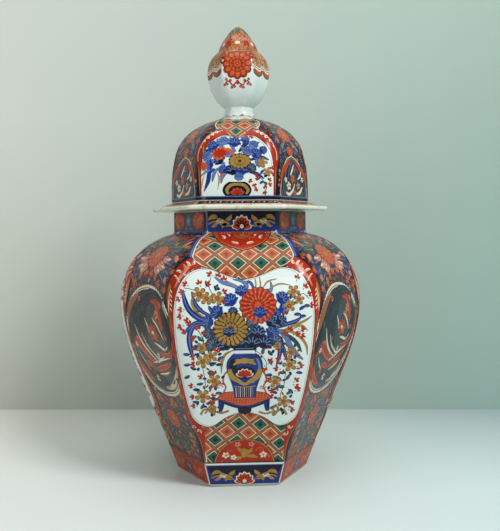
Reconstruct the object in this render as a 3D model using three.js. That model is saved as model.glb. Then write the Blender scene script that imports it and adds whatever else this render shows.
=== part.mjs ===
// A six-sided porcelain jar with a domed cover, as its potter joined it from formed pieces before the firing.
// Six press-moulded slabs make the wall. They are mitred at the corners and luted to each other with slip.
// Millimetres, +Z up. The origin is the middle of the foot's underside, and the jar's front facet faces -Y.
// The jar stays put. The cover is one loose group that lifts straight up out of the neck.
import * as THREE from "three";

// The six-sided section. An even number of steps puts a point on the mitre at each corner's middle.
const SLAB_NAMES = ["front", "front_right", "back_right", "back", "back_left", "front_left"];
const FACETS = SLAB_NAMES.length;
const CORNER_STEPS = 4;
const HALF_CORNER = CORNER_STEPS / 2;
const HALF_FACET_TURN = Math.PI / FACETS;
const FIRST_FACET_TURN = -Math.PI / 2;
const CORNER_TO_FLAT = Math.cos(HALF_FACET_TURN);

// Clearances
const SLIP_GAP = 0.3; // between the floor and the wall that it is luted into
const SEAT_GAP = 0.3; // between the cover and the rim that it rests on

// The jar's foot and wall. Radii are to the corners, and a fillet is the corner's own radius in plan.
const FOOT_HEIGHT = 7;
const FOOT_RADIUS = 82;
const FOOT_FILLET = 9;
const FOOT_BEVEL = 1.5;
const LEDGE_WIDTH = 8; // how far the foot ring reaches in past the wall, to carry the floor
const FLOOR_THICKNESS = 9;
const WALL_FOOT_RADIUS = 84.4;
const WALL_THICKNESS = 8;
const BELLY_HEIGHT = 214;
const BELLY_RADIUS = 152.5;
const BELLY_FILLET = 38;
const SHOULDER_HEIGHT = 302;
const WALL_STEPS = 10;

// How far each stretch of the wall keeps the direction that it starts or ends with
const TAPER_REACH_SHARE = 0.48;
const TAPER_WIDEN_SHARE = 0.57;
const BELLY_BELOW_SHARE = 0.24;
const BELLY_ABOVE_SHARE = 0.55;
const SHOULDER_REACH_SHARE = 0.6;
const SHOULDER_DROP_SHARE = 0.085;

// The neck, luted onto the shoulder
const NECK_RADIUS = 84;
const NECK_FILLET = 9;
const NECK_THICKNESS = 8.5;
const NECK_HEIGHT = 27.5;
const RIM_BEVEL = 1;

// The cover's brim, which lies on the neck's rim
const BRIM_RADIUS = 110.8;
const BRIM_FILLET = 10;
const BRIM_EDGE = 6; // thickness at the outer edge
const BRIM_DROOP = 0.5; // how far the outer edge hangs below the seat
const BRIM_HEIGHT = 11; // from the seat to the dome's foot
const BRIM_SEAT_MARGIN = 2.5; // flat seat beyond the neck's outer face
const BRIM_HOLLOW_SHARE = 0.55; // how far out the top of the brim is hollowed
const BRIM_FALL_SHARE = 0.72; // how much of its fall is behind it there

// The cover's locating ring, which drops into the neck with enough play for the cover to sit a little turned
const RING_PLAY = 3.6;
const RING_THICKNESS = 6;
const RING_DEPTH = 18;
const RING_FILLET = 10;
const RING_BEVEL = 1.2;

// The cover's dome
const DOME_RADIUS = 86.8;
const DOME_FILLET = 22;
const DOME_HEIGHT = 104;
const DOME_THICKNESS = 6.5;
const DOME_TOP_RADIUS = 26;
const DOME_TOP_FILLET = 14;
const DOME_UPRIGHT_SHARE = 0.62;
const DOME_CROWN_OUT_SHARE = 0.89;
const DOME_CROWN_DROP_SHARE = 0.12;
const DOME_STEPS = 12;
const COVER_TURN = THREE.MathUtils.degToRad(-3.5);

// The knob: a stem and a hollow bud, with a vent through both so that air could leave the bud in the kiln
const STEM_HEIGHT = 13.5;
const STEM_FOOT_RADIUS = 24.2;
const STEM_FOOT_LIP = 1.6;
const STEM_WAIST_RADIUS = 18.8;
const STEM_FILLET = 12;
const STEM_THROAT_SHARE = 0.5;
const VENT_RADIUS = 4.5;
const BUD_RADIUS = 39.6;
const BUD_FILLET = 16;
const BUD_WIDEST = 43.5; // above the stem
const BUD_WALL = 9;
const BUD_WAIST_HEIGHT = 71;
const BUD_WAIST_RADIUS = 25.2;
const BUD_WAIST_FILLET = 10;
const TIP_HEIGHT = 102;
const TIP_RADIUS = 3.5;
const TIP_FILLET = 7;
const BUD_STEPS = 6;

// The bud's curves: how far out and how far up each one keeps its direction
const BOWL_FOOT_OUT_SHARE = 0.25;
const BOWL_FOOT_RISE_SHARE = 0.12;
const BOWL_SIDE_SHARE = 0.5;
const DRAW_IN_SHARE = 0.54;
const WAIST_OUT_SHARE = 0.45;
const WAIST_DROP_SHARE = 0.16;
const CAP_FOOT_IN_SHARE = 0.04;
const CAP_FOOT_RISE_SHARE = 0.2;
const CAP_POINT_OUT_SHARE = 0.46;
const CAP_POINT_DROP_SHARE = 0.2;

// One station of an outline: the corner's distance from the axis, the corner's own fillet and the height
const station = (radius, fillet, height) => new THREE.Vector3(radius, fillet, height);
const between = (from, to, share) => from + (to - from) * share;
const curve = (...stations) => new THREE.CubicBezierCurve3(...stations);

// The points round one corner of the section. Where the fillet is as large as the radius it is part of a circle.
function cornerArc({ x: radius, y: fillet, z: height }, corner, fromStep, toStep) {
  const round = Math.min(fillet, radius);
  const facetTurn = FIRST_FACET_TURN + 2 * corner * HALF_FACET_TURN;
  const cornerTurn = facetTurn + HALF_FACET_TURN;
  const points = [];
  for (let step = fromStep; step <= toStep; step += 1) {
    const turn = facetTurn + (2 * HALF_FACET_TURN * step) / CORNER_STEPS;
    const x = (radius - round) * Math.cos(cornerTurn) + round * Math.cos(turn);
    const y = (radius - round) * Math.sin(cornerTurn) + round * Math.sin(turn);
    points.push(new THREE.Vector3(x, y, height));
  }
  return points;
}

const fullRing = (place) => SLAB_NAMES.flatMap((_, corner) => cornerArc(place, corner, 0, CORNER_STEPS));

// One slab's share of the section: half of the corner before its facet and half of the one after
function slabArc(place, facet) {
  const cornerBefore = (facet + FACETS - 1) % FACETS;
  const before = cornerArc(place, cornerBefore, HALF_CORNER, CORNER_STEPS);
  return [...before, ...cornerArc(place, facet, 0, HALF_CORNER)];
}

// A skin over rows of points. Rows are joined from the lower to the upper on an outside, as seen from there.
class Skin {
  constructor(rows) {
    this.across = rows[0].length;
    this.points = rows.flat();
    this.faces = [];
  }

  join(lower, upper, isRound) {
    const spans = isRound ? this.across : this.across - 1;
    for (let point = 0; point < spans; point += 1) {
      const next = (point + 1) % this.across;
      const [low, lowNext] = [point, next].map((place) => lower * this.across + place);
      const [high, highNext] = [point, next].map((place) => upper * this.across + place);
      this.faces.push(low, lowNext, highNext, low, highNext, high);
    }
    return this;
  }

  // Closes a full ring with a fan about the axis.
  close(row, facesUp) {
    const middle = this.points.length;
    this.points.push(new THREE.Vector3(0, 0, this.points[row * this.across].z));
    for (let point = 0; point < this.across; point += 1) {
      const here = row * this.across + point;
      const next = row * this.across + ((point + 1) % this.across);
      this.faces.push(middle, ...(facesUp ? [here, next] : [next, here]));
    }
    return this;
  }

  geometry() {
    const geometry = new THREE.BufferGeometry().setFromPoints(this.points);
    geometry.setIndex(this.faces);
    geometry.computeVertexNormals();
    return geometry;
  }
}

// A shell with a bore: its stations run up the outside and back down the inside.
function shell(stations) {
  const skin = new Skin(stations.map(fullRing));
  stations.forEach((_, row) => skin.join(row, (row + 1) % stations.length, true));
  return skin.geometry();
}

function solid(stations) {
  const skin = new Skin(stations.map(fullRing));
  for (let row = 1; row < stations.length; row += 1) skin.join(row - 1, row, true);
  return skin.close(0, false).close(stations.length - 1, true).geometry();
}

// A closed top over a hollow that opens only through its foot. The hollow's stations run from its roof down.
function hollowSolid(outside, hollow) {
  const skin = new Skin([...outside, ...hollow].map(fullRing));
  const tip = outside.length - 1;
  const last = outside.length + hollow.length - 1;
  for (let row = 0; row < last; row += 1) if (row !== tip) skin.join(row, row + 1, true);
  skin.join(last, 0, true);
  return skin.close(tip, true).close(tip + 1, false).geometry();
}

// One slab of a shell, with the same mitre faces as its neighbours
function slab(stations, facet) {
  const skin = new Skin(stations.map((place) => slabArc(place, facet)));
  stations.forEach((_, row) => skin.join(row, (row + 1) % stations.length, false));
  const outline = stations.map(({ x: radius, z: height }) => new THREE.Vector2(radius, height));
  const isClockwise = THREE.ShapeUtils.isClockWise(outline);
  for (const corners of THREE.ShapeUtils.triangulateShape(outline, [])) {
    const isTurned = THREE.ShapeUtils.isClockWise(corners.map((corner) => outline[corner]));
    const ordered = isTurned === isClockwise ? corners : [...corners].reverse();
    const before = ordered.map((row) => row * skin.across);
    const after = before.map((point) => point + skin.across - 1).reverse();
    skin.faces.push(...before, ...after);
  }
  return skin.geometry();
}

// The stations of several curves end to end, without the doubled ones where they meet
function along(curves, steps) {
  return curves.flatMap((part, index) => part.getPoints(steps).slice(index ? 1 : 0));
}

// The same outline moved inwards by a wall, measured square to the outline
function inset(curves, steps, wall) {
  return curves.flatMap((part, index) => {
    const stations = [];
    for (let step = index ? 1 : 0; step <= steps; step += 1) {
      const place = part.getPoint(step / steps);
      const heading = part.getTangent(step / steps);
      const length = Math.hypot(heading.x, heading.z);
      const radius = place.x - (wall * heading.z) / length;
      const height = place.z + (wall * heading.x) / length;
      stations.push(station(radius, Math.max(place.y - wall, wall / 2), height));
    }
    return stations;
  });
}

const GLAZED = { roughness: 0.16, metalness: 0 };
const UNGLAZED = { roughness: 0.75, metalness: 0 };
const whiteGlaze = new THREE.MeshStandardMaterial({ color: 0xdfe4e0, ...GLAZED });
const blueGround = new THREE.MeshStandardMaterial({ color: 0x24316e, ...GLAZED });
const redGround = new THREE.MeshStandardMaterial({ color: 0xb0452c, ...GLAZED });
const bareClay = new THREE.MeshStandardMaterial({ color: 0xd9d2c3, ...UNGLAZED });

function piece(name, geometry, material) {
  const mesh = new THREE.Mesh(geometry, material);
  mesh.name = name;
  return mesh;
}

// The taper from the foot to the belly, then the shoulder that turns in to the neck's root
function wallCurves() {
  const rise = BELLY_HEIGHT - FOOT_HEIGHT;
  const widening = BELLY_RADIUS - WALL_FOOT_RADIUS;
  const shoulderRise = SHOULDER_HEIGHT - BELLY_HEIGHT;
  const foot = station(WALL_FOOT_RADIUS, FOOT_FILLET, FOOT_HEIGHT);
  const belly = station(BELLY_RADIUS, BELLY_FILLET, BELLY_HEIGHT);
  const root = station(NECK_RADIUS, NECK_FILLET, SHOULDER_HEIGHT);
  const taperEnd = station(
    foot.x + widening * TAPER_WIDEN_SHARE,
    foot.y,
    foot.z + rise * TAPER_REACH_SHARE,
  );
  const bellyStart = station(belly.x, belly.y, belly.z - rise * BELLY_BELOW_SHARE);
  const bellyEnd = station(belly.x, belly.y, belly.z + shoulderRise * BELLY_ABOVE_SHARE);
  const shoulderEnd = station(
    between(root.x, belly.x, SHOULDER_REACH_SHARE),
    between(root.y, belly.y, SHOULDER_REACH_SHARE),
    root.z - shoulderRise * SHOULDER_DROP_SHARE,
  );
  return [curve(foot, taperEnd, bellyStart, belly), curve(belly, bellyEnd, shoulderEnd, root)];
}

const neckBore = { radius: NECK_RADIUS - NECK_THICKNESS, fillet: NECK_FILLET / 2 };
const innerFootFillet = FOOT_FILLET / 2;

// How fast the wall widens with height where it leaves the foot, and what that makes of a length across it
const footHeading = wallCurves()[0].getTangent(0);
const footSlope = footHeading.x / footHeading.z;
const acrossFoot = (length) => length * Math.hypot(1, footSlope);
const wallFootInside = WALL_FOOT_RADIUS - acrossFoot(WALL_THICKNESS);

function wallStations() {
  const curves = wallCurves();
  return [
    ...along(curves, WALL_STEPS),
    station(neckBore.radius, neckBore.fillet, SHOULDER_HEIGHT),
    station(neckBore.radius, neckBore.fillet, SHOULDER_HEIGHT - WALL_THICKNESS),
    ...inset(curves, WALL_STEPS, WALL_THICKNESS).slice(1, -1).reverse(),
    station(wallFootInside, innerFootFillet, FOOT_HEIGHT),
  ];
}

function jarFloor() {
  const edge = wallFootInside - acrossFoot(SLIP_GAP);
  const top = FOOT_HEIGHT + FLOOR_THICKNESS;
  return solid([
    station(edge, innerFootFillet, FOOT_HEIGHT),
    station(edge + footSlope * FLOOR_THICKNESS, innerFootFillet, top),
  ]);
}

function footRing() {
  const inside = wallFootInside - LEDGE_WIDTH;
  const widening = (WALL_FOOT_RADIUS - FOOT_RADIUS) / FOOT_HEIGHT;
  return shell([
    station(inside + FOOT_BEVEL, innerFootFillet, 0),
    station(FOOT_RADIUS - FOOT_BEVEL, FOOT_FILLET, 0),
    station(FOOT_RADIUS + widening * FOOT_BEVEL, FOOT_FILLET, FOOT_BEVEL),
    station(WALL_FOOT_RADIUS, FOOT_FILLET, FOOT_HEIGHT),
    station(inside, innerFootFillet, FOOT_HEIGHT),
    station(inside, innerFootFillet, FOOT_BEVEL),
  ]);
}

const rimHeight = SHOULDER_HEIGHT + NECK_HEIGHT;

function neckCollar() {
  const { radius: bore, fillet } = neckBore;
  return shell([
    station(NECK_RADIUS, NECK_FILLET, SHOULDER_HEIGHT),
    station(NECK_RADIUS, NECK_FILLET, rimHeight - RIM_BEVEL),
    station(NECK_RADIUS - RIM_BEVEL, NECK_FILLET, rimHeight),
    station(bore + RIM_BEVEL, fillet, rimHeight),
    station(bore, fillet, rimHeight - RIM_BEVEL),
    station(bore, fillet, SHOULDER_HEIGHT),
  ]);
}

// The cover, from its seat on the neck's rim up to the knob's tip
const seatHeight = rimHeight + SEAT_GAP;
const domeFootHeight = seatHeight + BRIM_HEIGHT;
const domeTopHeight = domeFootHeight + DOME_HEIGHT;
const budFootHeight = domeTopHeight + STEM_HEIGHT;
const domeInside = station(DOME_RADIUS - DOME_THICKNESS, DOME_FILLET - DOME_THICKNESS, domeFootHeight);

// When the ring is in line with the neck, its flats clear the neck's flats by the play.
const ringFlat = (neckBore.radius - neckBore.fillet) * CORNER_TO_FLAT + neckBore.fillet - RING_PLAY;
const ringOutside = (ringFlat - RING_FILLET) / CORNER_TO_FLAT + RING_FILLET;
const ringInside = ringOutside - RING_THICKNESS;
const ringInnerFillet = RING_FILLET - RING_THICKNESS / 2;

function locatingRing() {
  const foot = seatHeight - RING_DEPTH;
  return shell([
    station(ringOutside - RING_BEVEL, RING_FILLET, foot),
    station(ringOutside, RING_FILLET, foot + RING_BEVEL),
    station(ringOutside, RING_FILLET, seatHeight),
    station(ringInside, ringInnerFillet, seatHeight),
    station(ringInside, ringInnerFillet, foot + RING_BEVEL),
    station(ringInside + RING_BEVEL, ringInnerFillet, foot),
  ]);
}

function coverBrim() {
  const edgeFoot = seatHeight - BRIM_DROOP;
  const edgeTop = edgeFoot + BRIM_EDGE;
  const nose = BRIM_EDGE / 2;
  const bevel = nose / 2;
  const flatEdge = BRIM_RADIUS - nose;
  const fall = (domeFootHeight - edgeTop) * BRIM_FALL_SHARE;
  const hollow = station(
    between(DOME_RADIUS, flatEdge, BRIM_HOLLOW_SHARE),
    between(DOME_FILLET, BRIM_FILLET, BRIM_HOLLOW_SHARE),
    domeFootHeight - fall,
  );
  return shell([
    station(ringInside, ringInnerFillet, seatHeight),
    station(NECK_RADIUS + BRIM_SEAT_MARGIN, NECK_FILLET, seatHeight),
    station(flatEdge, BRIM_FILLET, edgeFoot),
    station(BRIM_RADIUS - bevel / 2, BRIM_FILLET, edgeFoot + bevel),
    station(BRIM_RADIUS, BRIM_FILLET, edgeFoot + nose),
    station(BRIM_RADIUS - bevel / 2, BRIM_FILLET, edgeTop - bevel),
    station(flatEdge, BRIM_FILLET, edgeTop),
    hollow,
    station(DOME_RADIUS, DOME_FILLET, domeFootHeight),
    domeInside,
  ]);
}

function coverDome() {
  const foot = station(DOME_RADIUS, DOME_FILLET, domeFootHeight);
  const top = station(DOME_TOP_RADIUS, DOME_TOP_FILLET, domeTopHeight);
  const uprightTop = foot.z + DOME_HEIGHT * DOME_UPRIGHT_SHARE;
  const crownStart = station(
    between(top.x, foot.x, DOME_CROWN_OUT_SHARE),
    foot.y,
    top.z - DOME_HEIGHT * DOME_CROWN_DROP_SHARE,
  );
  const outline = [curve(foot, station(foot.x, foot.y, uprightTop), crownStart, top)];
  const ceiling = top.z - DOME_THICKNESS;
  return shell([
    ...along(outline, DOME_STEPS),
    station(VENT_RADIUS, VENT_RADIUS, top.z),
    station(VENT_RADIUS, VENT_RADIUS, ceiling),
    station(top.x / 2, top.x / 2, ceiling),
    ...inset(outline, DOME_STEPS, DOME_THICKNESS).slice(1, -1).reverse(),
    domeInside,
  ]);
}

function knobStem() {
  const lipTop = domeTopHeight + STEM_FOOT_LIP;
  const waistTop = budFootHeight - STEM_FOOT_LIP;
  const throatRadius = STEM_WAIST_RADIUS + STEM_FOOT_LIP;
  return shell([
    station(STEM_FOOT_RADIUS, STEM_FILLET, domeTopHeight),
    station(STEM_FOOT_RADIUS, STEM_FILLET, lipTop),
    station(throatRadius, STEM_FILLET, between(lipTop, waistTop, STEM_THROAT_SHARE)),
    station(STEM_WAIST_RADIUS, STEM_FILLET, waistTop),
    station(STEM_WAIST_RADIUS, STEM_FILLET, budFootHeight),
    station(VENT_RADIUS, VENT_RADIUS, budFootHeight),
    station(VENT_RADIUS, VENT_RADIUS, domeTopHeight),
  ]);
}

// The bud swells from the stem, draws in to a waist and closes in a pointed cap.
function budCurves() {
  const foot = station(STEM_WAIST_RADIUS, STEM_FILLET, budFootHeight);
  const widest = station(BUD_RADIUS, BUD_FILLET, foot.z + BUD_WIDEST);
  const waist = station(BUD_WAIST_RADIUS, BUD_WAIST_FILLET, foot.z + BUD_WAIST_HEIGHT);
  const tip = station(TIP_RADIUS, TIP_RADIUS, foot.z + TIP_HEIGHT);
  const drawIn = BUD_WAIST_HEIGHT - BUD_WIDEST;
  const capRise = TIP_HEIGHT - BUD_WAIST_HEIGHT;
  const bowlFoot = station(
    between(foot.x, widest.x, BOWL_FOOT_OUT_SHARE),
    foot.y,
    foot.z + BUD_WIDEST * BOWL_FOOT_RISE_SHARE,
  );
  const bowlSide = station(widest.x, widest.y, widest.z - BUD_WIDEST * BOWL_SIDE_SHARE);
  const shoulder = station(widest.x, widest.y, widest.z + drawIn * DRAW_IN_SHARE);
  const underWaist = station(
    between(waist.x, widest.x, WAIST_OUT_SHARE),
    waist.y,
    waist.z - drawIn * WAIST_DROP_SHARE,
  );
  const capFoot = station(
    between(waist.x, tip.x, CAP_FOOT_IN_SHARE),
    waist.y,
    waist.z + capRise * CAP_FOOT_RISE_SHARE,
  );
  const capPoint = station(
    between(tip.x, waist.x, CAP_POINT_OUT_SHARE),
    TIP_FILLET,
    tip.z - capRise * CAP_POINT_DROP_SHARE,
  );
  return [
    curve(foot, bowlFoot, bowlSide, widest),
    curve(widest, shoulder, underWaist, waist),
    curve(waist, capFoot, capPoint, tip),
  ];
}

function knobBud() {
  const curves = budCurves();
  const chamber = inset(curves.slice(0, 2), BUD_STEPS, BUD_WALL).slice(1).reverse();
  const roof = chamber[0].z + BUD_WALL / 2;
  return hollowSolid(along(curves, BUD_STEPS), [
    station(VENT_RADIUS, VENT_RADIUS, roof),
    ...chamber,
    station(VENT_RADIUS, VENT_RADIUS, budFootHeight + BUD_WALL),
    station(VENT_RADIUS, VENT_RADIUS, budFootHeight),
  ]);
}

const jar = new THREE.Group();
jar.add(piece("foot_ring", footRing(), bareClay));
jar.add(piece("jar_floor", jarFloor(), whiteGlaze));
SLAB_NAMES.forEach((side, facet) => {
  const ground = facet % 2 ? blueGround : whiteGlaze;
  jar.add(piece(`wall_slab_${side}`, slab(wallStations(), facet), ground));
});
jar.add(piece("neck_collar", neckCollar(), blueGround));

const cover = new THREE.Group();
cover.rotation.z = COVER_TURN;
cover.add(piece("cover_locating_ring", locatingRing(), bareClay));
cover.add(piece("cover_brim", coverBrim(), whiteGlaze));
cover.add(piece("cover_dome", coverDome(), redGround));
cover.add(piece("knob_stem", knobStem(), whiteGlaze));
cover.add(piece("knob_bud", knobBud(), whiteGlaze));

const potiche = new THREE.Group();
potiche.add(jar, cover);

export default potiche;
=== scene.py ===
import math
from collections import defaultdict

import bpy
import numpy as np
from bpy.props import FloatProperty, FloatVectorProperty, PointerProperty
from mathutils import Matrix, Vector


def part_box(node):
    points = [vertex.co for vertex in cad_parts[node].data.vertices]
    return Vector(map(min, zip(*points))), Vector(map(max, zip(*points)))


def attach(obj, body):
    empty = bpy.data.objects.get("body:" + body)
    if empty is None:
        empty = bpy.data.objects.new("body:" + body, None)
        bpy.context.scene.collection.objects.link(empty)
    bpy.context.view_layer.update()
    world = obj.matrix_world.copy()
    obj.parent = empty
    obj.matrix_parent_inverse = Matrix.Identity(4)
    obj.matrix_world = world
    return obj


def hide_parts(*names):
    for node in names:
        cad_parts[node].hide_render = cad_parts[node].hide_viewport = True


bl_info = {
    "name": "Covered Hexagonal Jar",
    "version": (1, 0, 0),
    "blender": (4, 5, 0),
    "location": "3D View > Sidebar > Jar",
    "description": "Glazes and paints a six-sided covered porcelain jar",
    "category": "Add Mesh",
}

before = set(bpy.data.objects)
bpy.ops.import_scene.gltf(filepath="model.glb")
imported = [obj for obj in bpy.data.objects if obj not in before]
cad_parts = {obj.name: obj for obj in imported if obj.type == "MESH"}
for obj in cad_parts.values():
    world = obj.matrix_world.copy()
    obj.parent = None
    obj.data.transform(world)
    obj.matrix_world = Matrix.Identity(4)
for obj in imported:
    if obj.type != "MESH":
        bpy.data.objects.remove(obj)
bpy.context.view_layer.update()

# Everything is drawn in millimetres. The meshes are made in metres.
MM = 0.001
FACETS = 6
HALF_TURN = math.pi / FACETS
FRONT_TURN = -math.pi / 2
SLAB_SIDES = ("front", "front_right", "back_right", "back", "back_left", "front_left")
PANEL_FACETS = (0, 2, 4)
BROCADE_FACETS = (1, 3, 5)


def corner_radius(node):
    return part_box(node)[1].x / MM


def top_of(node):
    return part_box(node)[1].z / MM


# Shape of the jar, read from the frame where it holds it. Fillets are the corners' own radii in plan.
BELLY_RADIUS = corner_radius("wall_slab_front_right")
WALL_FOOT_RADIUS = corner_radius("foot_ring")
NECK_RADIUS = corner_radius("neck_collar")
FOOT_TOP = top_of("foot_ring")
SHOULDER_TOP = top_of("wall_slab_front")
RIM_TOP = top_of("neck_collar")
SEAT = top_of("cover_locating_ring")
BRIM_TOP = top_of("cover_brim")
DOME_TOP = top_of("cover_dome")
STEM_TOP = top_of("knob_stem")
TIP_TOP = top_of("knob_bud")
FOOT_RADIUS = 82.0
BELLY_HEIGHT = 214.0
FOOT_FILLET = 9.0
BELLY_FILLET = 38.0
NECK_FILLET = 9.0
COVER_TURN = math.radians(-3.5)
BRIM_RADIUS = 110.8
BRIM_FILLET = 10.0
BRIM_EDGE = 6.0
BRIM_DROOP = 0.5
DOME_RADIUS = 86.8
DOME_FILLET = 22.0
DOME_TOP_RADIUS = 26.0
DOME_TOP_FILLET = 14.0
DOME_WALL = 6.3
STEM_RADIUS = 18.8
STEM_FOOT_RADIUS = 24.2
STEM_FILLET = 12.0
BUD_RADIUS = 39.6
BUD_FILLET = 16.0
BUD_WIDEST = 43.5
WAIST_RADIUS = 25.2
WAIST_HEIGHT = 71.0
WAIST_FILLET = 10.0
TIP_RADIUS = 3.5
VENT_RADIUS = 4.5
WALL = 7.6
ROOT_FILLET = 3.0
GLAZE_DEPTH = 1.0


# Flat curves and shapes


def mix(a, b, share):
    return a + (b - a) * share


def turned(degrees, reach=1.0, tall=None):
    """A place on a circle, or on an ellipse of another height."""
    a = math.radians(degrees)
    return np.array([math.cos(a) * reach, math.sin(a) * (reach if tall is None else tall)])


def bezier(stations, steps):
    """Points along one cubic Bezier curve."""
    a, b, c, d = (np.array(place, float) for place in stations)
    t = np.linspace(0, 1, steps + 1)[:, None]
    s = 1 - t
    return s**3 * a + 3 * s**2 * t * b + 3 * s * t**2 * c + t**3 * d


def smooth(points, step):
    """A soft line through given points, with a point about every step millimetres."""
    knots = np.array(points, float)
    knots = np.vstack([2 * knots[0] - knots[1], knots, 2 * knots[-1] - knots[-2]])
    line = []
    for p0, p1, p2, p3 in zip(knots, knots[1:], knots[2:], knots[3:]):
        count = max(1, math.ceil(np.hypot(*(p2 - p1)[:2]) / step))
        t = (np.arange(count) / count)[:, None]
        line.append(p1 + 0.5 * ((p2 - p0) * t + (2 * p0 - 5 * p1 + 4 * p2 - p3) * t**2
                                + (3 * p1 - p0 - 3 * p2 + p3) * t**3))
    return np.vstack([*line, knots[-2]])


def evenly(line, count):
    """The same line as a given number of points, evenly spaced along it."""
    lengths = np.concatenate([[0], np.cumsum(np.hypot(*np.diff(line, axis=0).T))])
    spots = np.linspace(0, lengths[-1], count)
    return np.stack([np.interp(spots, lengths, part) for part in line.T], -1)


def across_way(line, step=1.0):
    """The directions square to a line, at each of its points."""
    way = np.gradient(line[:, :2], axis=0)
    way /= np.maximum(np.hypot(*way.T)[:, None], 1e-9)
    return np.column_stack([-way[:, 1], way[:, 0]]) * step


def wider(band, grow=0.0, share=1.0):
    """A band of (x, y, width) with another width."""
    return np.array(band, float) * (1, 1, share) + (0, 0, grow)


def plate(grid):
    """A thin closed plate over a grid of flat points. Its third coordinate is 1 on top and 0 below."""
    rows, cols = grid.shape[:2]
    size = rows * cols
    spot = np.arange(size).reshape(rows, cols)
    top = np.stack([spot[:-1, :-1], spot[:-1, 1:], spot[1:, 1:], spot[1:, :-1]], -1).reshape(-1, 4)
    start = np.concatenate([spot[0, :-1], spot[1:, 0], spot[-1, 1:], spot[:-1, -1]])
    end = np.concatenate([spot[0, 1:], spot[:-1, 0], spot[-1, :-1], spot[1:, -1]])
    flat = grid.reshape(-1, 2)
    (px, py), (qx, qy), (rx, ry), (sx, sy) = (flat[top[:, corner]].T for corner in range(4))
    if ((rx - px) * (sy - qy) - (ry - py) * (sx - qx)).sum() < 0:
        top, start, end = top[:, ::-1], end, start
    rim = np.stack([end, start, start + size, end + size], -1)
    verts = np.column_stack([np.vstack([flat, flat]), np.repeat([1.0, 0.0], size)])
    return verts, np.vstack([top, top[:, ::-1] + size, rim])


class Surface:
    """The outside of a six-sided form. A place on it is its facet, how far across, and how far up."""

    def __init__(self, stations, turn=0.0, warp=None):
        self.radius, self.fillet, self.height = np.array(stations, float).T
        self.fillet = np.minimum(self.fillet, self.radius)
        flat = (self.radius - self.fillet) * math.cos(HALF_TURN) + self.fillet
        self.up = np.concatenate([[0], np.cumsum(np.hypot(np.diff(flat), np.diff(self.height)))])
        self.turn, self.warp = turn, warp

    def section(self, up):
        return np.interp(up, self.up, self.radius), np.interp(up, self.up, self.fillet)

    def place(self, facet, across, up):
        radius, fillet = self.section(up)
        half_flat = (radius - fillet) * math.sin(HALF_TURN)
        beyond = np.clip(np.abs(across) - half_flat, 0, None)
        bend = np.clip(beyond / fillet, 0, 2 * HALF_TURN)
        rest = beyond - bend * fillet
        along = np.minimum(np.abs(across), half_flat) + fillet * np.sin(bend) + rest * np.cos(bend)
        along = along * np.sign(across)
        out = (radius - fillet) * math.cos(HALF_TURN) + fillet * np.cos(bend) - rest * np.sin(bend)
        facing = FRONT_TURN + 2 * HALF_TURN * facet + self.turn
        x = out * math.cos(facing) - along * math.sin(facing)
        y = out * math.sin(facing) + along * math.cos(facing)
        height = np.interp(up, self.up, self.height)
        if self.warp:
            height = height + self.warp(x, y)
        return np.stack([x, y, height], -1)

    def lifted(self, facet, across, up, lift):
        """Places on the glaze, or a little above it."""
        near = 0.02
        inner = np.clip(up, self.up[0] + near, self.up[-1] - near)
        sideways = self.place(facet, across + near, inner) - self.place(facet, across - near, inner)
        upwards = self.place(facet, across, inner + near) - self.place(facet, across, inner - near)
        out = np.cross(sideways, upwards)
        out /= np.maximum(np.linalg.norm(out, axis=-1, keepdims=True), 1e-12)
        return self.place(facet, across, up) + out * (lift[:, None] - GLAZE_DEPTH)

    def half_width(self, up):
        radius, fillet = self.section(up)
        return float((radius - fillet) / 2 + fillet * HALF_TURN)


def jar_stations():
    foot = (WALL_FOOT_RADIUS, FOOT_FILLET, FOOT_TOP)
    belly = (BELLY_RADIUS, BELLY_FILLET, BELLY_HEIGHT)
    root = (NECK_RADIUS, NECK_FILLET, SHOULDER_TOP)
    rise, shoulder = BELLY_HEIGHT - FOOT_TOP, SHOULDER_TOP - BELLY_HEIGHT
    taper = bezier([foot, (mix(WALL_FOOT_RADIUS, BELLY_RADIUS, 0.57), FOOT_FILLET, FOOT_TOP + rise * 0.48),
                    (BELLY_RADIUS, BELLY_FILLET, BELLY_HEIGHT - rise * 0.24), belly], 90)
    turn_in = bezier([belly, (BELLY_RADIUS, BELLY_FILLET, BELLY_HEIGHT + shoulder * 0.55),
                      (mix(NECK_RADIUS, BELLY_RADIUS, 0.6), mix(NECK_FILLET, BELLY_FILLET, 0.6),
                       SHOULDER_TOP - shoulder * 0.085), root], 90)
    before = turn_in[turn_in[:, 0] > NECK_RADIUS + ROOT_FILLET]
    neck = (NECK_RADIUS, NECK_FILLET, SHOULDER_TOP + ROOT_FILLET)
    bend = bezier([before[-1], mix(before[-1], np.array(root), 0.7),
                   (NECK_RADIUS, NECK_FILLET, SHOULDER_TOP + ROOT_FILLET * 0.4), neck], 8)
    upright = [(NECK_RADIUS, NECK_FILLET, mix(neck[2], RIM_TOP, share)) for share in (0.25, 0.5, 0.75, 1)]
    start = [(FOOT_RADIUS, FOOT_FILLET, 0.0), (mix(FOOT_RADIUS, foot[0], 0.5), FOOT_FILLET, FOOT_TOP / 2)]
    return [*start, *taper, *before[1:], *bend[1:], *upright]


def dome_stations():
    rise = DOME_TOP - BRIM_TOP
    crown = (mix(DOME_TOP_RADIUS, DOME_RADIUS, 0.89), DOME_FILLET, DOME_TOP - rise * 0.12)
    return bezier([(DOME_RADIUS, DOME_FILLET, BRIM_TOP), (DOME_RADIUS, DOME_FILLET, BRIM_TOP + rise * 0.62),
                   crown, (DOME_TOP_RADIUS, DOME_TOP_FILLET, DOME_TOP)], 110)


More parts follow.
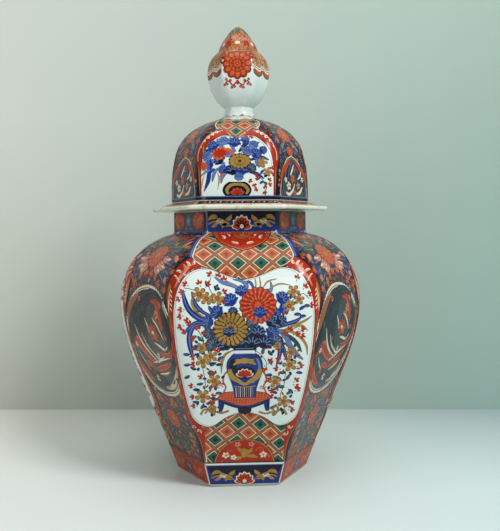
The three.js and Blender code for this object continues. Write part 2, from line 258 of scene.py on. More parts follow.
def brim_stations():
    edge = np.array([BRIM_RADIUS - 1.2, BRIM_FILLET, SEAT - BRIM_DROOP + BRIM_EDGE])
    out, fall = 0.55, 0.72
    hollow = np.array([mix(DOME_RADIUS, BRIM_RADIUS - BRIM_EDGE / 2, out), mix(DOME_FILLET, BRIM_FILLET, out),
                       mix(BRIM_TOP, edge[2], fall)])
    return bezier([edge, mix(edge, hollow, 0.6), hollow, (DOME_RADIUS, DOME_FILLET, BRIM_TOP)], 24)


def bud_stations():
    foot = (STEM_RADIUS, STEM_FILLET, STEM_TOP)
    widest = (BUD_RADIUS, BUD_FILLET, STEM_TOP + BUD_WIDEST)
    waist = (WAIST_RADIUS, WAIST_FILLET, STEM_TOP + WAIST_HEIGHT)
    draw_in, cap_rise = WAIST_HEIGHT - BUD_WIDEST, TIP_TOP - waist[2]
    bowl = bezier([foot, (mix(STEM_RADIUS, BUD_RADIUS, 0.36), STEM_FILLET, foot[2] + BUD_WIDEST * 0.09),
                   (BUD_RADIUS, BUD_FILLET, widest[2] - BUD_WIDEST * 0.56), widest], 44)
    neck = bezier([widest, (BUD_RADIUS, BUD_FILLET, widest[2] + draw_in * 0.54),
                   (mix(WAIST_RADIUS, BUD_RADIUS, 0.45), WAIST_FILLET, waist[2] - draw_in * 0.16), waist], 30)
    cap = bezier([waist, (mix(WAIST_RADIUS, TIP_RADIUS, 0.04), WAIST_FILLET, waist[2] + cap_rise * 0.2),
                  (mix(TIP_RADIUS, WAIST_RADIUS, 0.46), 7.0, TIP_TOP - cap_rise * 0.2),
                  (TIP_RADIUS, TIP_RADIUS, TIP_TOP)], 36)
    return np.vstack([bowl, neck[1:], cap[1:]])


def stem_stations():
    lip = 1.6
    outline = [(STEM_FOOT_RADIUS - 0.8, 0), (STEM_FOOT_RADIUS, 0.7), (STEM_FOOT_RADIUS, lip)]
    foot = [(radius, STEM_FILLET, DOME_TOP + rise) for radius, rise in outline]
    return [*foot, *bezier([(STEM_FOOT_RADIUS - 0.6, STEM_FILLET, DOME_TOP + lip + 0.4),
                            (STEM_RADIUS + lip - 1.0, STEM_FILLET, DOME_TOP + lip + 1.5),
                            (STEM_RADIUS, STEM_FILLET, DOME_TOP + 7), (STEM_RADIUS, STEM_FILLET, STEM_TOP)],
                           16)]


def brim_warp(x, y):
    """How far the brim's edge rises or sinks, as it warped in the kiln."""
    turn = np.arctan2(y, x)
    reach = np.clip((np.hypot(x, y) - 84) / 26, 0, 1)
    wave = np.sin(turn * 3 + 0.7) * 0.45 + np.sin(turn * 7 + 2.1) * 0.25 + np.sin(turn * 12) * 0.12
    return reach**2 * (wave - 0.35)


JAR = Surface(jar_stations())
DOME = Surface(dome_stations(), COVER_TURN)
BRIM = Surface(brim_stations(), COVER_TURN, brim_warp)
BUD = Surface(bud_stations(), COVER_TURN)
STEM = Surface(stem_stations(), COVER_TURN)


# Painting


class Ware:
    """Collects the painted plates of one body by colour, and lays them on its surfaces."""

    COAT = 0.042
    SINK = 0.12

    def __init__(self):
        self.plates = defaultdict(lambda: defaultdict(list))

    def add(self, colour, surface, facet, verts, faces, coat):
        lift = np.where(verts[:, 2] > 0.5, coat * self.COAT, -self.SINK)
        self.plates[colour][surface, facet].append((verts[:, :2], lift, faces))

    def meshes(self):
        for colour, groups in self.plates.items():
            verts, quads, base = [], [], 0
            for (surface, facet), members in groups.items():
                flats, lifts, faces = zip(*members)
                across, up = np.vstack(flats).T
                verts.append(surface.lifted(facet, across, up, np.concatenate(lifts)))
                for flat, member in zip(flats, faces):
                    quads.append(member + base)
                    base += len(flat)
            yield colour, np.vstack(verts), np.vstack(quads)


class Pen:
    """Paints flat shapes, in millimetres, on one facet of a surface."""

    def __init__(self, ware, surface, facet, matrix=np.eye(3)):
        self.ware, self.surface, self.facet, self.matrix = ware, surface, facet, matrix
        area = np.linalg.det(matrix[:2, :2])
        self.size, self.hand = math.sqrt(abs(area)), math.copysign(1, area)

    def moved(self, x=0.0, y=0.0, turn=0.0, size=1.0, mirror=False):
        c, s = turned(turn, size)
        flip = -1.0 if mirror else 1.0
        step = np.array([[c * flip, -s, x], [s * flip, c, y], [0, 0, 1]])
        return Pen(self.ware, self.surface, self.facet, self.matrix @ step)

    def sides(self):
        """This pen, and its mirror image."""
        return self, self.moved(mirror=True)

    def stamp(self, colour, coat, shape):
        verts, faces = shape
        flat = verts[:, :2] @ self.matrix[:2, :2].T + self.matrix[:2, 2]
        if self.hand < 0:
            faces = faces[:, ::-1]
        self.ware.add(colour, self.surface, self.facet, np.column_stack([flat, verts[:, 2]]), faces, coat)

    def stroke(self, colour, coat, points, width=None, step=2.6, cell=2.6):
        """A brush line. Points are (x, y) with one width, or (x, y, width)."""
        points = np.array(points, float)
        if width is not None:
            points = np.column_stack([points[:, :2], np.full(len(points), width)])
        line = smooth(points, step / self.size)
        half = across_way(line, np.maximum(line[:, 2:], 0.12) / 2)
        columns = max(2, math.ceil(line[:, 2].max() * self.size / cell) + 1)
        grid = line[None, :, :2] + np.linspace(-1, 1, columns)[:, None, None] * half
        self.stamp(colour, coat, plate(grid))

    def edged(self, colour, coat, band, grow, edge=None, share=1.0, **values):
        """A brush line over a wider one."""
        self.stroke(edge or LINE, coat - 1, wider(band, grow, share), **values)
        self.stroke(colour, coat, wider(band, share=share), **values)

    def leaf(self, colour, coat, start, end, width, bow=0.0, blunt=0.35):
        """A pointed leaf between two points."""
        way = np.subtract(end, start)
        side = np.array([-way[1], way[0]]) * bow
        shares = np.array([[0.0], [0.2], [0.5], [0.8], [1.0]])
        widths = width * np.array([0.12, mix(0.6, 1.0, blunt), 1.0, mix(0.45, 0.9, blunt), 0.08])
        middles = np.array(start) + way * shares + side * 4 * shares * (1 - shares)
        self.stroke(colour, coat, np.column_stack([middles, widths]), step=2.5)

    def leaves(self, coat, rows, bow=0.0, blunt=0.35):
        """Leaves from rows of (colour, x, y, x2, y2, width)."""
        for colour, x, y, x2, y2, width in rows:
            self.leaf(colour, coat, (x, y), (x2, y2), width, bow, blunt)

    def veined(self, coat, rows, width, vein=1.0):
        """Leaves with a fine gold vein, from rows of (colour, x, y, x2, y2)."""
        for colour, x, y, x2, y2 in rows:
            self.leaf(colour, coat, (x, y), (x2, y2), width, 0.12, 0.7)
            self.leaf(GOLD, coat + 1, (x, y), (mix(x, x2, 0.8), mix(y, y2, 0.8)), vein)

    def fan(self, x, y, turns, reach, tall, marks, blunt=0.9, bow=0.0):
        """Petals that open out from one place. Marks are (colour, coat, from, to, width), thin ones lines."""
        spot = self.moved(x, y)
        for turn in turns:
            tip = turned(turn, reach, tall)
            for colour, coat, start, end, width in marks:
                if width > 1:
                    spot.leaf(colour, coat, tip * start, tip * end, width, bow, blunt)
                else:
                    spot.stroke(colour, coat, [tip * start, tip * end], width)

    def blot(self, colour, coat, x, y, rx, ry=None, lobes=0, depth=0.0, cell=2.4, turn=0.0):
        """A round or lobed patch."""
        ry = rx if ry is None else ry
        count = max(3, math.ceil(2 * max(rx, ry) * self.size / cell), lobes)
        u, v = np.meshgrid(*[np.linspace(-1, 1, count + 1)] * 2)
        px, py = u * np.sqrt(1 - v**2 / 2), v * np.sqrt(1 - u**2 / 2)
        scallop = 1 - np.abs(np.sin(np.arctan2(py, px) * lobes / 2))
        factor = 1 - depth * scallop * np.hypot(px, py)
        self.moved(x, y, turn).stamp(colour, coat, plate(np.stack([px * rx * factor, py * ry * factor], -1)))

    def ruled(self, colour, coat, one, other, across=2.0):
        """A field between two lines."""
        one, other = smooth(one, 3.0 / self.size), smooth(other, 3.0 / self.size)
        rows = max(len(one), len(other))
        one, other = evenly(one, rows)[:, None], evenly(other, rows)[:, None]
        columns = max(2, math.ceil(np.hypot(*(other - one).T).max() * self.size / across) + 1)
        self.stamp(colour, coat, plate(mix(one, other, np.linspace(0, 1, columns)[:, None])))

    def level(self, colour, coat, outline, cell=3.0, across=2.6):
        """A field with given edges at each height: rows of (y, left, right)."""
        rows = np.array(outline, float)
        low, high = rows[0, 0], rows[-1, 0]
        heights = np.linspace(low, high, max(2, math.ceil(abs(high - low) / cell) + 1))
        edges = []
        for side in (1, 2):
            line = smooth(rows[:, [side, 0]], cell)
            line = line[np.argsort(line[:, 1])]
            edges.append(np.interp(heights, line[:, 1], line[:, 0])[:, None])
        columns = max(2, math.ceil((edges[1] - edges[0]).max() / across) + 1)
        shares = np.linspace(0, 1, columns)
        self.stamp(colour, coat, plate(np.stack([mix(*edges, shares), heights[:, None] + 0 * shares], -1)))

    def band(self, colour, coat, low, high, half_low, half_high=None, cell=1.2, across=1.2):
        """A straight field across the facet."""
        half_high = half_low if half_high is None else half_high
        self.level(colour, coat, [(low, -half_low, half_low), (high, -half_high, half_high)], cell, across)


# Repeats, made by Geometry Nodes


def new_node(tree, kind, settings=None, **inputs):
    """A node with its settings and inputs: i0 is its first input, the others go by their names."""
    node = tree.nodes.new(kind)
    for key, value in (settings or {}).items():
        setattr(node, key, value)
    for key, value in inputs.items():
        feed(tree, node.inputs[int(key[1:]) if key[1:].isdigit() else key.replace("_", " ")], value)
    return node


def feed(tree, socket, value):
    value = value.socket if isinstance(value, Value) else value
    if isinstance(value, bpy.types.NodeSocket):
        tree.links.new(value, socket)
    else:
        socket.default_value = value


class Tree:
    """A geometry node tree that puts copies of a shape on points."""

    def __init__(self, name, **sizes):
        self.tree = bpy.data.node_groups.new(name, "GeometryNodeTree")
        self.tree.interface.new_socket("Geometry", in_out="OUTPUT", socket_type="NodeSocketGeometry")
        for label, kind in {"Shape": "Object", **sizes}.items():
            self.tree.interface.new_socket(label, in_out="INPUT", socket_type=f"NodeSocket{kind}")
        self.sizes = self.tree.nodes.new("NodeGroupInput").outputs

    def add(self, kind, settings=None, **inputs):
        return new_node(self.tree, kind, settings, **inputs).outputs

    def copies(self, points, **inputs):
        shape = self.add("GeometryNodeObjectInfo", Object=self.sizes["Shape"])["Geometry"]
        copies = self.add("GeometryNodeInstanceOnPoints", Points=points, Instance=shape, **inputs)
        real = self.add("GeometryNodeRealizeInstances", Geometry=copies[0])
        finish = bpy.data.materials.new("repeat_finish")
        painted = self.add("GeometryNodeSetMaterial", Geometry=real[0], Material=finish)
        self.tree.links.new(painted[0], self.tree.nodes.new("NodeGroupOutput").inputs[0])
        return self.tree


def ring_tree():
    tree = Tree("ring_of_shapes", Count="Int", Radius="Float")
    circle = tree.add("GeometryNodeMeshCircle", Vertices=tree.sizes["Count"], Radius=tree.sizes["Radius"])
    index = tree.add("GeometryNodeInputIndex")[0]
    share = tree.add("ShaderNodeMath", {"operation": "DIVIDE"}, i0=index, i1=tree.sizes["Count"])[0]
    angle = tree.add("ShaderNodeMath", {"operation": "MULTIPLY"}, i0=share, i1=math.tau)[0]
    return tree.copies(circle[0], Rotation=tree.add("ShaderNodeCombineXYZ", Z=angle)[0])


def rows_tree():
    tree = Tree("rows_of_shapes", Columns="Int", Rows="Int", Width="Float", Height="Float")
    grid = tree.add("GeometryNodeMeshGrid", Size_X=tree.sizes["Width"], Size_Y=tree.sizes["Height"],
                    Vertices_X=tree.sizes["Columns"], Vertices_Y=tree.sizes["Rows"])
    return tree.copies(grid["Mesh"])


def baked(tree, values):
    """Runs a tree on an empty mesh and gives back its points and four-sided faces."""
    host = bpy.data.objects.new("repeat_host", bpy.data.meshes.new("repeat_host"))
    bpy.context.scene.collection.objects.link(host)
    modifier = host.modifiers.new("repeat", "NODES")
    modifier.node_group = tree
    for item in tree.interface.items_tree:
        if item.name in values:
            modifier[item.identifier] = values[item.name]
    bpy.context.view_layer.update()
    evaluated = host.evaluated_get(bpy.context.evaluated_depsgraph_get())
    mesh = bpy.data.meshes.new_from_object(evaluated)
    host.modifiers.remove(modifier)
    points, corners = np.empty(len(mesh.vertices) * 3), np.empty(len(mesh.loops), int)
    mesh.vertices.foreach_get("co", points)
    mesh.loops.foreach_get("vertex_index", corners)
    bpy.data.objects.remove(host)
    return points.reshape(-1, 3), corners.reshape(-1, 4)


def petal_shape(inner, outer, width, waist=0.5, rows=4):
    """One petal along +X, round at its far end."""
    shares = np.linspace(0, 1, rows + 1)
    swell = np.interp(shares, [0, 0.6, 0.85, 1], [waist, 1, 0.85, 0.35]) * width / 2
    x = mix(inner, outer, shares)
    return plate(np.stack([np.stack([x, side * swell], -1) for side in (-1, 0, 1)], 0))


def diamond_shape(half_width, half_height, pieces):
    """A diamond as a small grid, so that it can lie on a curved wall."""
    u, v = np.meshgrid(*[np.linspace(-1, 1, pieces + 1)] * 2)
    return plate(np.stack([(u - v) / 2 * half_width, (u + v) / 2 * half_height], -1))


CELL_PITCH = 25.5
CELL_RISE = 25.0
CELL_SIZES = ((9.7, 9.4, 6), (8.6, 8.4, 6), (5.6, 5.4, 4), (2.9, 2.8, 2))
RINGS = {
    "outer": (petal_shape(0.0, 0.36, 0.205), 20, 0.64),
    "middle": (petal_shape(0.0, 0.27, 0.165), 17, 0.42),
    "inner": (petal_shape(0.0, 0.20, 0.14), 12, 0.19),
    "glints": (petal_shape(0.0, 0.15, 0.05, 0.6, 3), 20, 0.66),
    "sparks": (petal_shape(0.0, 0.12, 0.045, 0.6, 2), 17, 0.42),
    "blossom": (petal_shape(0.0, 0.8, 0.72, 0.4, 3), 5, 0.18),
    "star": (petal_shape(0.0, 0.84, 0.7, 0.35, 4), 5, 0.14),
}
TREES = {}
BAKED = {}


def repeated(key, make_tree, shape, **values):
    """Copies of a shape, in unit size, made once, when they are first wanted."""
    if key not in BAKED:
        if make_tree not in TREES:
            TREES[make_tree] = make_tree()
        one = bpy.data.objects.new("repeated_shape", bpy.data.meshes.new("repeated_shape"))
        one.data.from_pydata(shape[0].tolist(), [], shape[1].tolist())
        BAKED[key] = baked(TREES[make_tree], {"Shape": one, **values})
        bpy.data.objects.remove(one)
    return BAKED[key]


def ring(name):
    """Copies of a petal round a circle."""
    shape, count, radius = RINGS[name]
    return repeated(name, ring_tree, shape, Count=count, Radius=radius)


def cells(level, columns, rows):
    """Rows of diamonds, of one of the lattice's sizes."""
    return repeated((level, columns, rows), rows_tree, diamond_shape(*CELL_SIZES[level]), Columns=columns,
                    Rows=rows, Width=CELL_PITCH * (columns - 1), Height=CELL_RISE * (rows - 1))


# Small motifs

BLUE, NAVY, WASH, SLATE = "cobalt", "navy", "blue_wash", "slate"
RED, CORAL, PINK, TAN = "iron_red", "coral", "pink", "lattice_tan"
GOLD, GREEN, WHITE, CREAM, LINE = "gold", "green", "reserve_white", "cream", "umber_line"

# Layers, from the first to the last that is painted
LATTICE, GROUND, FILL, FLOWER, BORDER, FIELD, PLANT = 1, 5, 6, 9, 13, 14, 15


def blossom(pen, x, y, radius, colour, eye, coat, turn=0.0):
    """A flower with five petals. A mirrored pen moves it over, but doesn't turn it round."""
    turn = turn if pen.hand > 0 else 180 - turn
    pen.moved(x, y, turn, radius).stamp(colour, coat, ring("blossom"))
    pen.blot(eye, coat + 1, x, y, radius * 0.28)


def blossoms(pen, coat, rows, eye=None, spin=7):
    """Blossoms from rows of (colour, x, y, radius)."""
    for colour, x, y, radius in rows:
        blossom(pen, x, y, radius, colour, eye or GOLD, coat, x * spin)


def starry(pen, x, y, radius, colour, eye, coat, turn=0.0):
    """A flower with narrow petals and a dark outline."""
    pen.moved(x, y, turn, radius * 1.14).stamp(LINE, coat - 1, ring("star"))
    pen.moved(x, y, turn, radius).stamp(colour, coat, ring("star"))
    pen.blot(LINE, coat + 1, x, y, radius * 0.34)
    pen.blot(eye, coat + 2, x, y, radius * 0.24)


def bud_spray(pen, x, y, size, turn, colour, coat):
    """Three drop-shaped buds on a common stalk."""
    spot = pen.moved(x, y, turn, size)
    for angle, reach in ((52, 0.9), (90, 1.15), (128, 0.9)):
        tip = turned(angle, reach)
        spot.leaf(colour, coat, tip * 0.25, tip, 0.42, blunt=0.7)


def scroll(pen, colour, coat, x, y, size, turn=0.0, width=1.1, mirror=False):
    """One tendril that curls in at its end. A mirrored pen doesn't change which way it is turned."""
    curl = [(0, 0), (0.35, 0.22), (0.75, 0.2), (1.0, -0.05), (0.92, -0.35), (0.68, -0.4), (0.58, -0.22),
            (0.7, -0.12)]
    pen.moved(x, y, turn * pen.hand, size, mirror).stroke(colour, coat, curl, width / size)


def leaf_cluster(pen, x, y, radius, turn, colour, coat):
    """A round cut leaf: dark fingers over a paler wash, with fine pale veins."""
    spot = pen.moved(x, y, turn, radius)
    under, vein = {SLATE: (NAVY, WASH), WASH: (BLUE, BLUE)}.get(colour, (WASH, WASH))
    spot.blot(under, coat - 1, 0, 0.28, 0.86, 0.8, lobes=9, depth=0.12, cell=2.6)
    for finger in range(-3, 4):
        tip = turned(90 + finger * 29)
        spot.leaf(colour, coat, tip * -0.3, tip * (1.08 - 0.05 * abs(finger)), 0.46, blunt=0.8)
    spot.blot(colour, coat, 0, -0.02, 0.46, cell=3)
    for finger in range(-2, 3):
        tip = turned(90 + finger * 32)
        spot.stroke(vein, coat + 1, [tip * 0.26, tip * 0.8], 0.5 / radius)


def chrysanthemum(pen, x, y, radius, colour, ground, glint, coat, turn=0.0):
    """A many-petalled flower head: a lobed ground, rings of petals, and lights between them."""
    spot = pen.moved(x, y, turn, radius)
    turned_spot = spot.moved(turn=11)
    spot.blot(LINE, coat, 0, 0, 1.06, lobes=16, depth=0.1)
    spot.blot(ground, coat + 0.5, 0, 0, 1.0, lobes=16, depth=0.1)
    spot.stamp(colour, coat + 1, ring("outer"))
    turned_spot.stamp(glint, coat + 2, ring("glints"))
    turned_spot.stamp(colour, coat + 2.5, ring("middle"))
    spot.stamp(glint, coat + 3, ring("sparks"))
    spot.stamp(colour, coat + 3.5, ring("inner"))
    pen.blot(ground, coat + 4, x, y, radius * 0.12)


def brocade_flower(pen, x, y, rx, tall=0.82):
    """An orange flower head with a gold heart."""
    pen.blot(LINE, FLOWER, x, y, rx + 0.9, rx * tall + 0.9, lobes=14, depth=0.07)
    pen.blot(CORAL, FLOWER + 1, x, y, rx, rx * tall, lobes=14, depth=0.08)
    for turn, start, end, width in ((28.65, 0.5, 0.94, 0.15), (16.04, 0.28, 0.5, 0.09)):
        for petal in range(14):
            tip = turned(turn + petal * 360 / 14, rx, rx * tall)
            pen.moved(x, y).leaf(RED, FLOWER + 2, tip * start, tip * end, rx * width)
    pen.blot(GOLD, FLOWER + 3, x, y, rx * 0.26, rx * 0.22, lobes=8, depth=0.1)


def domed_field(pen, colour, coat, upper, lower, columns=36, rows=48):
    """A field between an upper and a lower half outline, on both sides of the middle."""
    upper, lower = np.array(upper), np.array(lower)
    x = np.sin(np.linspace(0, 1, columns) * math.pi / 2) * min(upper[-1, 0], lower[-1, 0])
    shares = np.linspace(0, 1, rows)[:, None]
    grid = np.stack([x + 0 * shares, mix(np.interp(x, *lower.T), np.interp(x, *upper.T), shares)], -1)
    for side in pen.sides():
        side.stamp(colour, coat, plate(grid))


def split_outline(half):
    """The upper and the lower part of a half outline, both running outwards to its widest place."""
    line = smooth(half, 1.6)
    widest = int(np.argmax(line[:, 0]))
    return line[:widest + 1], line[widest:][::-1]


def lattice(pen, x, y, size=1.0, turn=0.0, columns=5):
    """Diamond cells between tan bars, green and coral by turns."""
    spot = pen.moved(x, y, turn, size)
    for colour, tint, dark, dx, rows in ((GREEN, GREEN, NAVY, 0.0, 4), (CORAL, TAN, RED, CELL_PITCH / 2, 5)):
        rows = rows if columns > 3 else rows - 2
        for level, (paint, coat) in enumerate(((CREAM, 1), (colour, 2), (tint, 2.5), (dark, 3))):
            spot.moved(dx).stamp(paint, LATTICE + coat, cells(level, columns, rows))
    for middle in (np.arange(-4, 5) + 0.5) * CELL_PITCH / 2:
        for lean in (34, -34):
            spot.stroke(LINE, LATTICE + 0.5, [(middle - lean, -33.3), (middle + lean, 33.3)], 0.5)


def thrown(upright, turn, chance):
    """One small thing of a brocade's filling."""
    pen = upright.moved(turn=turn)
    coat = FILL + int(chance.integers(2))
    kind = chance.random()
    if kind < 0.3:
        colour = (GOLD, GREEN, SLATE, SLATE)[int(chance.integers(4))]
        pen.leaf(colour, coat, (-3.4, 0), (3.4, 0), 2.6, 0.2)
        pen.leaf(GREEN if colour == GOLD else SLATE, coat, (0, 0), (1.5, 3.6), 1.9, 0.15)
    elif kind < 0.42:
        pen.leaf(BLUE, coat, (-3.2, 0), (3.4, 0), 4.2, 0.1, 0.8)
        pen.leaf(WASH, coat + 1, (-1.6, 0), (2.4, 0), 0.8)
    elif kind < 0.6:
        colour = (CORAL, PINK, RED, RED)[int(chance.integers(4))]
        blossom(upright, 0, 0, chance.uniform(2.4, 3.4), colour, GOLD, coat, turn)
    elif kind < 0.8:
        scroll(pen, GOLD if kind < 0.74 else TAN, coat, 0, 0, chance.uniform(5, 7.5), 0, 0.75, kind < 0.7)
    else:
        pen.leaf(RED, coat, (-3, 0), (3, 0), 2.2, 0.2)
        pen.leaf(SLATE, coat, (0, 0), (0, -4), 2.4)


def scatter(pen, heights, edges, chance, inset, room, pitch, shake, lift=0, size=1.0, medallion_middle=None):
    """Small things thrown over a brocade, but not where its medallion lies."""
    half_across, half_up, middle_up = 57, 62, 186
    for y in heights:
        left, right = edges(y)
        count = max(1, round((right - left - room) / pitch))
        for place in range(count):
            x = mix(left + inset, right - inset, (place + 0.5) / count) + chance.uniform(-shake, shake)
            off = 1
            if medallion_middle is not None:
                off = math.hypot((x - medallion_middle) / half_across, (y - middle_up) / half_up)
            if off >= 1:
                rise = chance.uniform(-lift, lift) if lift else 0
                thrown(pen.moved(x, y + rise, size=size), chance.uniform(0, 360), chance)


# The jar's painting. Half outlines are (across, up) from the facet's middle line.

PANEL_HALF = np.array([
    (0, 262.5), (14, 266), (26, 271), (36, 275.5), (45, 276.6), (54, 274.5), (62, 269.5), (69, 261),
    (75, 248), (78.5, 232), (79, 214), (77.5, 190), (74.5, 165), (71.5, 145), (68, 125), (64, 108),
    (60, 97.5), (54, 91), (47, 86.8), (40, 85.3), (34, 87.3), (27, 93), (18, 99), (8, 102.8), (0, 103.6)])
COLLAR_HALF = np.array([
    (40, 277.5), (46, 280), (52, 285), (56, 291), (54.5, 301), (51, 314), (47, 326), (42, 338), (40, 345)])
BORDER_OUTER = np.array([
    (51, 286), (57, 290), (64, 287), (73, 280), (80.5, 270), (88, 257), (91, 243), (87.5, 228), (83.5, 212),
    (81.5, 190), (80, 170), (78.5, 150), (76.5, 130), (73, 110), (67, 92), (57, 76), (51, 60), (48, 36)])
BORDER_INNER = np.array([
    (45, 279), (55, 276), (63, 270), (70, 260.5), (75.5, 248), (78.8, 232), (79.2, 214), (77.5, 190),
    (74.5, 165), (71.5, 145), (68, 125), (64, 108), (59, 96), (50, 87), (46, 76), (46, 60), (46.5, 36)])
LAMBREQUIN_HALF = np.array([(0.4, 300.5), (8, 303.5), (18, 309), (26, 317), (31, 329), (34.5, 345)])
ROUNDEL_HALF = np.array([(1.5, 66.5), (10, 65.5), (20, 60.5), (28, 52), (33, 42), (35, 34)])
MEDALLION_HALF = np.array([
    (0.5, 251.5), (17, 249.5), (33, 243), (46, 232), (55, 219), (60, 205), (61.5, 190), (59.5, 174),
    (55.5, 158), (49, 143), (38, 131), (22, 123), (0.5, 119.5)])
MEDALLION_MIDDLE = np.array([0.0, 187.0])
FOOT_BAND = (4.0, 30.5)
FOOT_LINE = 34.0
NECK_BAND = (345.6, 367.5)

# How far a panel and its border reach to the side: (up, across)
PANEL_REACH = [(30, 47.5), (60, 51), (76, 56), (84, 62), (92, 67), (110, 73), (130, 76.5), (150, 78.5),
               (170, 80), (190, 81.5), (212, 83.5), (228, 87.5), (243, 91), (257, 88), (270, 80.5), (280, 73),
               (287, 64), (290, 57), (301, 54.5), (314, 51), (326, 47), (338, 42), (346, 40)]

# How far off its facet's middle each side was painted, by hand
PANEL_SHIFTS = {0: 0.0, 2: -9.0, 4: 19.0}
MEDALLION_SHIFTS = {1: -8.5, 3: 2.0, 5: 12.5}
FLOWER_SHIFTS = {1: -2.0, 3: 0.0, 5: 3.0}


def panel(pen):
    """A white panel with its red border, and the lattices and half rounds above and below it."""
    pen.level(TAN, LATTICE, [(256, -60, 60), (346, -58, 58)])
    pen.level(TAN, LATTICE, [(31, -50, 50), (106, -56, 56)])
    lattice(pen, -6, 295.5)
    lattice(pen, -8, 77, 0.98, -5)
    for half in (LAMBREQUIN_HALF, ROUNDEL_HALF[::-1]):
        pen.level(RED, GROUND + 1, [(y, -x, x) for x, y in half])
    pen.stroke(TAN, GROUND + 3, [(-10, 343, 2), (-7, 334, 4), (0, 327, 5), (7, 334, 4), (10, 343, 2)])
    pen.blot(GOLD, GROUND + 4, 0, 337, 4, 5, lobes=5, depth=0.2)
    pen.blot(GOLD, GROUND + 3, 0, 48, 4.5, 7, lobes=5, depth=0.25)
    blossom(pen, -13, 42, 3.8, CREAM, GOLD, GROUND + 4)
    inner = [(x * 0.972, y + (1.4 if y < 104 else -1.6 if y > 255 else 0)) for x, y in PANEL_HALF]
    lines = ((LINE, GROUND + 2, LAMBREQUIN_HALF, 0.9), (GOLD, GROUND + 3, LAMBREQUIN_HALF + (-1.6, 1), 0.7),
             (GOLD, GROUND + 2, ROUNDEL_HALF, 1.0), (LINE, GROUND + 3, ROUNDEL_HALF + (1, 1), 0.6),
             (LINE, BORDER + 1, BORDER_OUTER, 0.9), (GOLD, BORDER + 1, BORDER_OUTER[7:] - (1.3, 0), 0.7),
             (CREAM, BORDER + 1, COLLAR_HALF, 1.3), (LINE, BORDER + 2, COLLAR_HALF + (0.9, 0), 0.6),
             (BLUE, BORDER, COLLAR_HALF[3:] + (3.2, 0), 4.2),
             (WASH, BORDER + 1, COLLAR_HALF[3:] + (2.4, 0), 1.4),
             (LINE, FIELD + 1, PANEL_HALF, 0.8), (CORAL, FIELD + 1, inner, 0.45))
    for side in pen.sides():
        side.ruled(RED, BORDER, BORDER_OUTER, BORDER_INNER, across=1.8)
        border_scrolls(side)
        half_round_motifs(side, GROUND + 3)
        for line in lines:
            side.stroke(*line)
    domed_field(pen, WHITE, FIELD, *split_outline(PANEL_HALF))


def border_scrolls(pen):
    """Leaves and tendrils on one half of the red border."""
    pen.stroke(PINK, BORDER + 1, [(53, 283, 1.2), (58, 281, 2.8), (63, 276, 4.4), (68, 269, 4.4),
                                  (73, 262, 2.8), (77, 254, 1)])
    for x, y, x2, y2, width in ((56, 281, 55, 286.4, 3.0), (60, 279, 63.5, 285, 3.2),
                                (65, 275, 67, 281.6, 3.0), (69, 271, 76, 273, 3.0), (74, 263, 79, 268, 2.4),
                                (66, 272, 62, 268, 2.4), (71, 266, 71, 260, 2.0)):
        pen.leaf(CREAM if x != 65 else PINK, BORDER + 2, (x, y), (x2, y2), width, 0.2, 0.8)
        pen.leaf(CORAL, BORDER + 3, (x, y), (mix(x, x2, 0.8), mix(y, y2, 0.8)), 0.9, 0.16)
    scroll(pen, RED, BORDER + 3, 60, 279, 6, 200, 0.8)
    scroll(pen, RED, BORDER + 3, 70, 270, 6, 230, 0.8)
    scroll(pen, CREAM, BORDER + 2, 56, 84, 6, 90 + 110 * pen.hand, 0.9)
    scroll(pen, CREAM, BORDER + 2, 50, 77, 6, 90 + 150 * pen.hand, 0.9)
    pen.leaf(GOLD, BORDER + 2, (85, 258), (88, 238), 4.5, -0.08, 0.8)
    pen.leaf(CREAM, BORDER + 2, (84, 250), (85.5, 226), 2.0, 0.04)
    pen.leaves(BORDER + 2, [(CREAM, 80.5, y, 84, y + 4, 1.4) for y in range(228, 250, 5)])
    pen.leaves(BORDER + 1, [(GOLD, x, y + 8, x + 1.5, y, 1.2) for x, y in (
        (78, 200), (77, 180), (75, 160), (73, 140), (70.5, 120), (64, 100))])


def half_round_motifs(pen, coat):
    """What is painted on one half of the lambrequin and of the roundel."""
    for x, y, x2, y2, width in ((21, 324, 24, 336, 4.2), (5, 312, 13, 316, 4.2), (15, 331, 18, 342, 2.6)):
        pen.leaf(CREAM, coat, (x, y), (x2, y2), width, 0.12, 0.8)
        pen.leaf(CORAL, coat + 1, (x, y), (x2, y2), width * 0.35)
    pen.leaves(coat, [(CORAL, 28, 331, 30, 343, 2.6), (GREEN, 14, 37, 21, 36.5, 2.6)])
    pen.leaf(GOLD, coat, (2, 43), (16, 41), 4.6, 0.1 * pen.hand)
    pen.leaf(GOLD, coat, (2, 47), (9, 55), 4.2, -0.1 * pen.hand)
    blossom(pen, 22, 45, 4.6, CREAM, CORAL, coat, 20 * pen.hand)
    blossom(pen, 8, 60, 3.8, PINK, RED, coat, 10 * pen.hand)
    for colour, x, y, size, turn, width in ((CORAL, 8, 322, 8, 60, 1.0), (CORAL, 13, 51, 9, 20, 1.0),
                                            (GOLD, 25, 38, 7, 70, 0.9)):
        scroll(pen, colour, coat, x, y, size, turn, width)


def reach(y, line):
    heights, widths = zip(*line)
    return float(np.interp(y, heights, widths))


def brocade_edges(facet, y):
    full = 2 * JAR.half_width(y)
    side = reach(y, PANEL_REACH)
    return side + PANEL_SHIFTS[(facet - 1) % FACETS] - full, full - side + PANEL_SHIFTS[(facet + 1) % FACETS]


